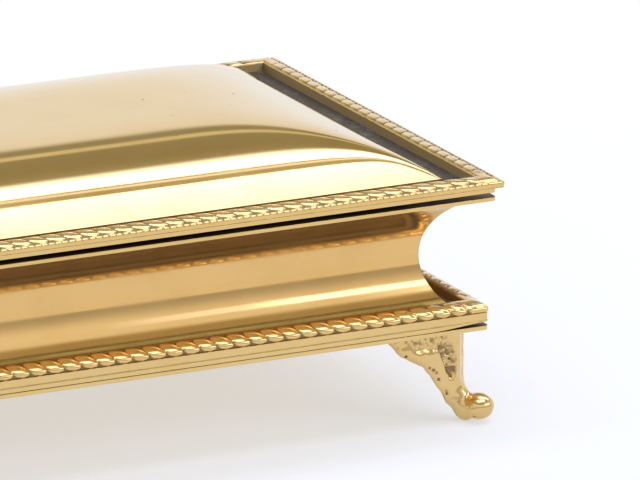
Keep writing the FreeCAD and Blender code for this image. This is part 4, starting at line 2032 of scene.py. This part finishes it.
@dataclass
class Room:
    """White to the camera, and in the brass a white backdrop below a grey ceiling.

    Angles are in degrees above the horizon. A band has the angles where it starts and ends, with its
    brightness there if that isn't 0 and 1.

    Attributes:
        backdrop: Band where the white paper behind the box ends.
        glint_foot: Band where a pale stripe above it starts.
        glint_top: Band where that stripe ends.
        ceiling: Band where the ceiling begins.
        front: Band from the dim horizon to the bright wall before the box.
        front_top: Band where that wall ends.
        front_drop: How much darker it is above.
        turn: Part of a direction along Y where the front ends and the back begins.
        warm_foot: Band where the warm shade behind the box starts.
        warm_top: Band where that shade ends.
        warm: Colour of that shade.
        dusk: Colour of the dark above the front wall.
    """

    backdrop: tuple[float, ...] = (20.8, 24.0, 0.95, 0.365)
    glint_foot: tuple[float, ...] = (26.6, 28.6)
    glint_top: tuple[float, ...] = (32.1, 30.1, 0.0, 0.46)
    ceiling: tuple[float, ...] = (45.0, 75.0, 0.0, 0.36)
    front: tuple[float, ...] = (2.0, 27.0, 0.46, 0.98)
    front_top: tuple[float, ...] = (40.0, 46.0)
    front_drop: float = 0.62
    turn: tuple[float, ...] = (-0.25, 0.05)
    warm_foot: tuple[float, ...] = (21.0, 24.0)
    warm_top: tuple[float, ...] = (75.0, 45.0)
    warm: Colour = (1.0, 0.95, 0.72, 1.0)
    dusk: Colour = (1.2, 1.0, 0.62, 1.0)

    def build(self) -> None:
        """Make the room."""
        world = bpy.data.worlds.new("room")
        bpy.context.scene.world = world
        world.use_nodes = True
        graph = Graph(world.node_tree)
        way = graph.node("ShaderNodeTexCoord").outputs["Generated"]
        ray = graph.node("ShaderNodeSeparateXYZ", Vector=way)
        level = graph.times(graph.math("ARCSINE", ray.outputs["Z"]), 180.0 / math.pi)
        glint = graph.times(graph.ramp(level, *self.glint_foot), graph.ramp(level, *self.glint_top))
        paper = graph.plus(graph.ramp(level, *self.backdrop), glint)
        behind = graph.plus(paper, graph.ramp(level, *self.ceiling))
        above = graph.ramp(level, *self.front_top)
        before = graph.minus(graph.ramp(level, *self.front), graph.times(above, self.front_drop))
        back = graph.ramp(ray.outputs["Y"], *self.turn)
        front = graph.minus(1.0, back)
        room = graph.plus(graph.times(behind, back), graph.times(before, front))
        shade = graph.times(graph.ramp(level, *self.warm_foot), graph.ramp(level, *self.warm_top))
        tint = graph.blend(graph.times(shade, back), WHITE, self.warm)
        lamp = graph.node(
            "ShaderNodeBackground", Color=graph.blend(graph.times(above, front), tint, self.dusk),
            Strength=graph.math("MAXIMUM", room, graph.to_camera()))
        graph.node("ShaderNodeOutputWorld", Surface=lamp.outputs["Background"])


@dataclass
class Studio:
    """Pale floor, white room, soft lamps and the camera.

    Attributes:
        azimuth: Camera's angle round the box from the front, in degrees.
        elevation: Camera's angle above the horizon, in degrees.
        roll: Camera's tilt to one side, in degrees.
        distance: Camera's distance from its aim.
        aim: Point that the camera looks at.
        lens: Focal length in millimetres.
        sensor: Width of the sensor in millimetres.
        sight: Distance that the camera sees.
        floor_half: Half width of the floor.
        floor_colour: Colour of the floor's paper.
        floor_glow: Brightness of the lit floor from below.
        floor_share: Share of that glow by the box.
        floor_reach: Distances where the full glow starts and where it is reached.
    """

    azimuth: float = -27.776
    elevation: float = 16.678
    roll: float = 0.703
    distance: float = 3.12224
    aim: Triple = (0.080578, 0.0, 0.034068)
    lens: float = 675.0
    sensor: float = 36.0
    sight: float = 100.0
    floor_half: float = 8.0
    floor_colour: Colour = (0.84, 0.88, 0.92, 1.0)
    floor_glow: float = 0.92
    floor_share: float = 0.52
    floor_reach: tuple[float, float] = (0.12, 0.34)

    def build(self) -> None:
        """Make the camera, floor, room and lamps."""
        self._camera()
        self._floor()
        Room().build()
        for lamp in (
                Softbox("main_softbox", 97.0, 115.0, -0.25, 0.575, 3.4, 2.2, 115.0),
                Softbox("strip_softbox", 69.0, 88.0, -0.7, 1.4, 0.5, 3.8, 79.0),
                Softbox("thin_strip", 89.8, 92.0, -0.7, 1.4, 1.4, 1.4, 92.0),
                Softbox("kicker_fade", 143.5, 151.5, 0.24, 0.282, 1.5, 1.5, 151.5, 0.55),
                Softbox("kicker", 143.5, 151.5, 0.282, 0.9, 3.4, 3.4, 151.5, 0.55),
                Softbox("kicker_end", 134.5, 143.5, 0.338, 0.9, 3.4, 3.4, 143.5, 0.55)):
            lamp.build()
        bpy.context.scene.view_settings.view_transform = "Standard"

    def _camera(self) -> None:
        """Make the camera."""
        turn = math.radians(self.azimuth)
        rise = math.radians(self.elevation)
        tilt = math.radians(self.roll)
        back = Vector((math.sin(turn) * math.cos(rise), -math.cos(turn) * math.cos(rise), math.sin(rise)))
        level = Vector((math.cos(turn), math.sin(turn), 0.0))
        upright = back.cross(level)
        right = level * math.cos(tilt) + upright * math.sin(tilt)
        up = upright * math.cos(tilt) - level * math.sin(tilt)
        data = bpy.data.cameras.new("camera")
        data.lens = self.lens
        data.sensor_width = self.sensor
        data.clip_end = self.sight
        camera = link("camera", data)
        camera.location = Vector(self.aim) + back * self.distance
        camera.rotation_euler = Matrix((right, up, back)).transposed().to_euler()
        bpy.context.scene.camera = camera

    def _floor(self) -> None:
        """Make the floor, pale by the box and white further off."""
        half = self.floor_half
        _, graph = staged("floor", "floor_paper", [
            np.array([x * half, y * half, 0.0]) for x, y in ((-1, -1), (1, -1), (1, 1), (-1, 1))])
        span = graph.numbered("ShaderNodeVectorMath", {"operation": "LENGTH"}, {0: graph.place()})
        far = graph.ramp(span.outputs["Value"], *self.floor_reach, self.floor_share, 1.0)
        level = graph.ramp(graph.to_camera(), 0.0, 1.0, self.floor_glow, 1.0)
        paper = graph.node("ShaderNodeBsdfDiffuse", Color=self.floor_colour)
        glow = graph.node("ShaderNodeEmission", Strength=level)
        mixed = graph.numbered(
            "ShaderNodeMixShader", {}, {0: far, 1: paper.outputs["BSDF"], 2: glow.outputs["Emission"]})
        graph.node("ShaderNodeOutputMaterial", Surface=mixed.outputs["Shader"])


def main() -> None:
    """Build the box and its studio, piece by piece."""
    logging.basicConfig(level=logging.INFO, format="%(name)s: %(message)s")
    finishes = Finishes()
    LidDome().build(finishes.dome)
    lid_moulding().build(finishes.moulding)
    base_moulding().build(finishes.base)
    Walls().build(finishes.wall)
    Plates().build(finishes)
    CastFoot(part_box("foot_back_right")[1].z).build(finishes.foot)
    Lining().build(finishes)
    Hinges().build(finishes)
    Studio().build()


if __name__ == "__main__":
    main()
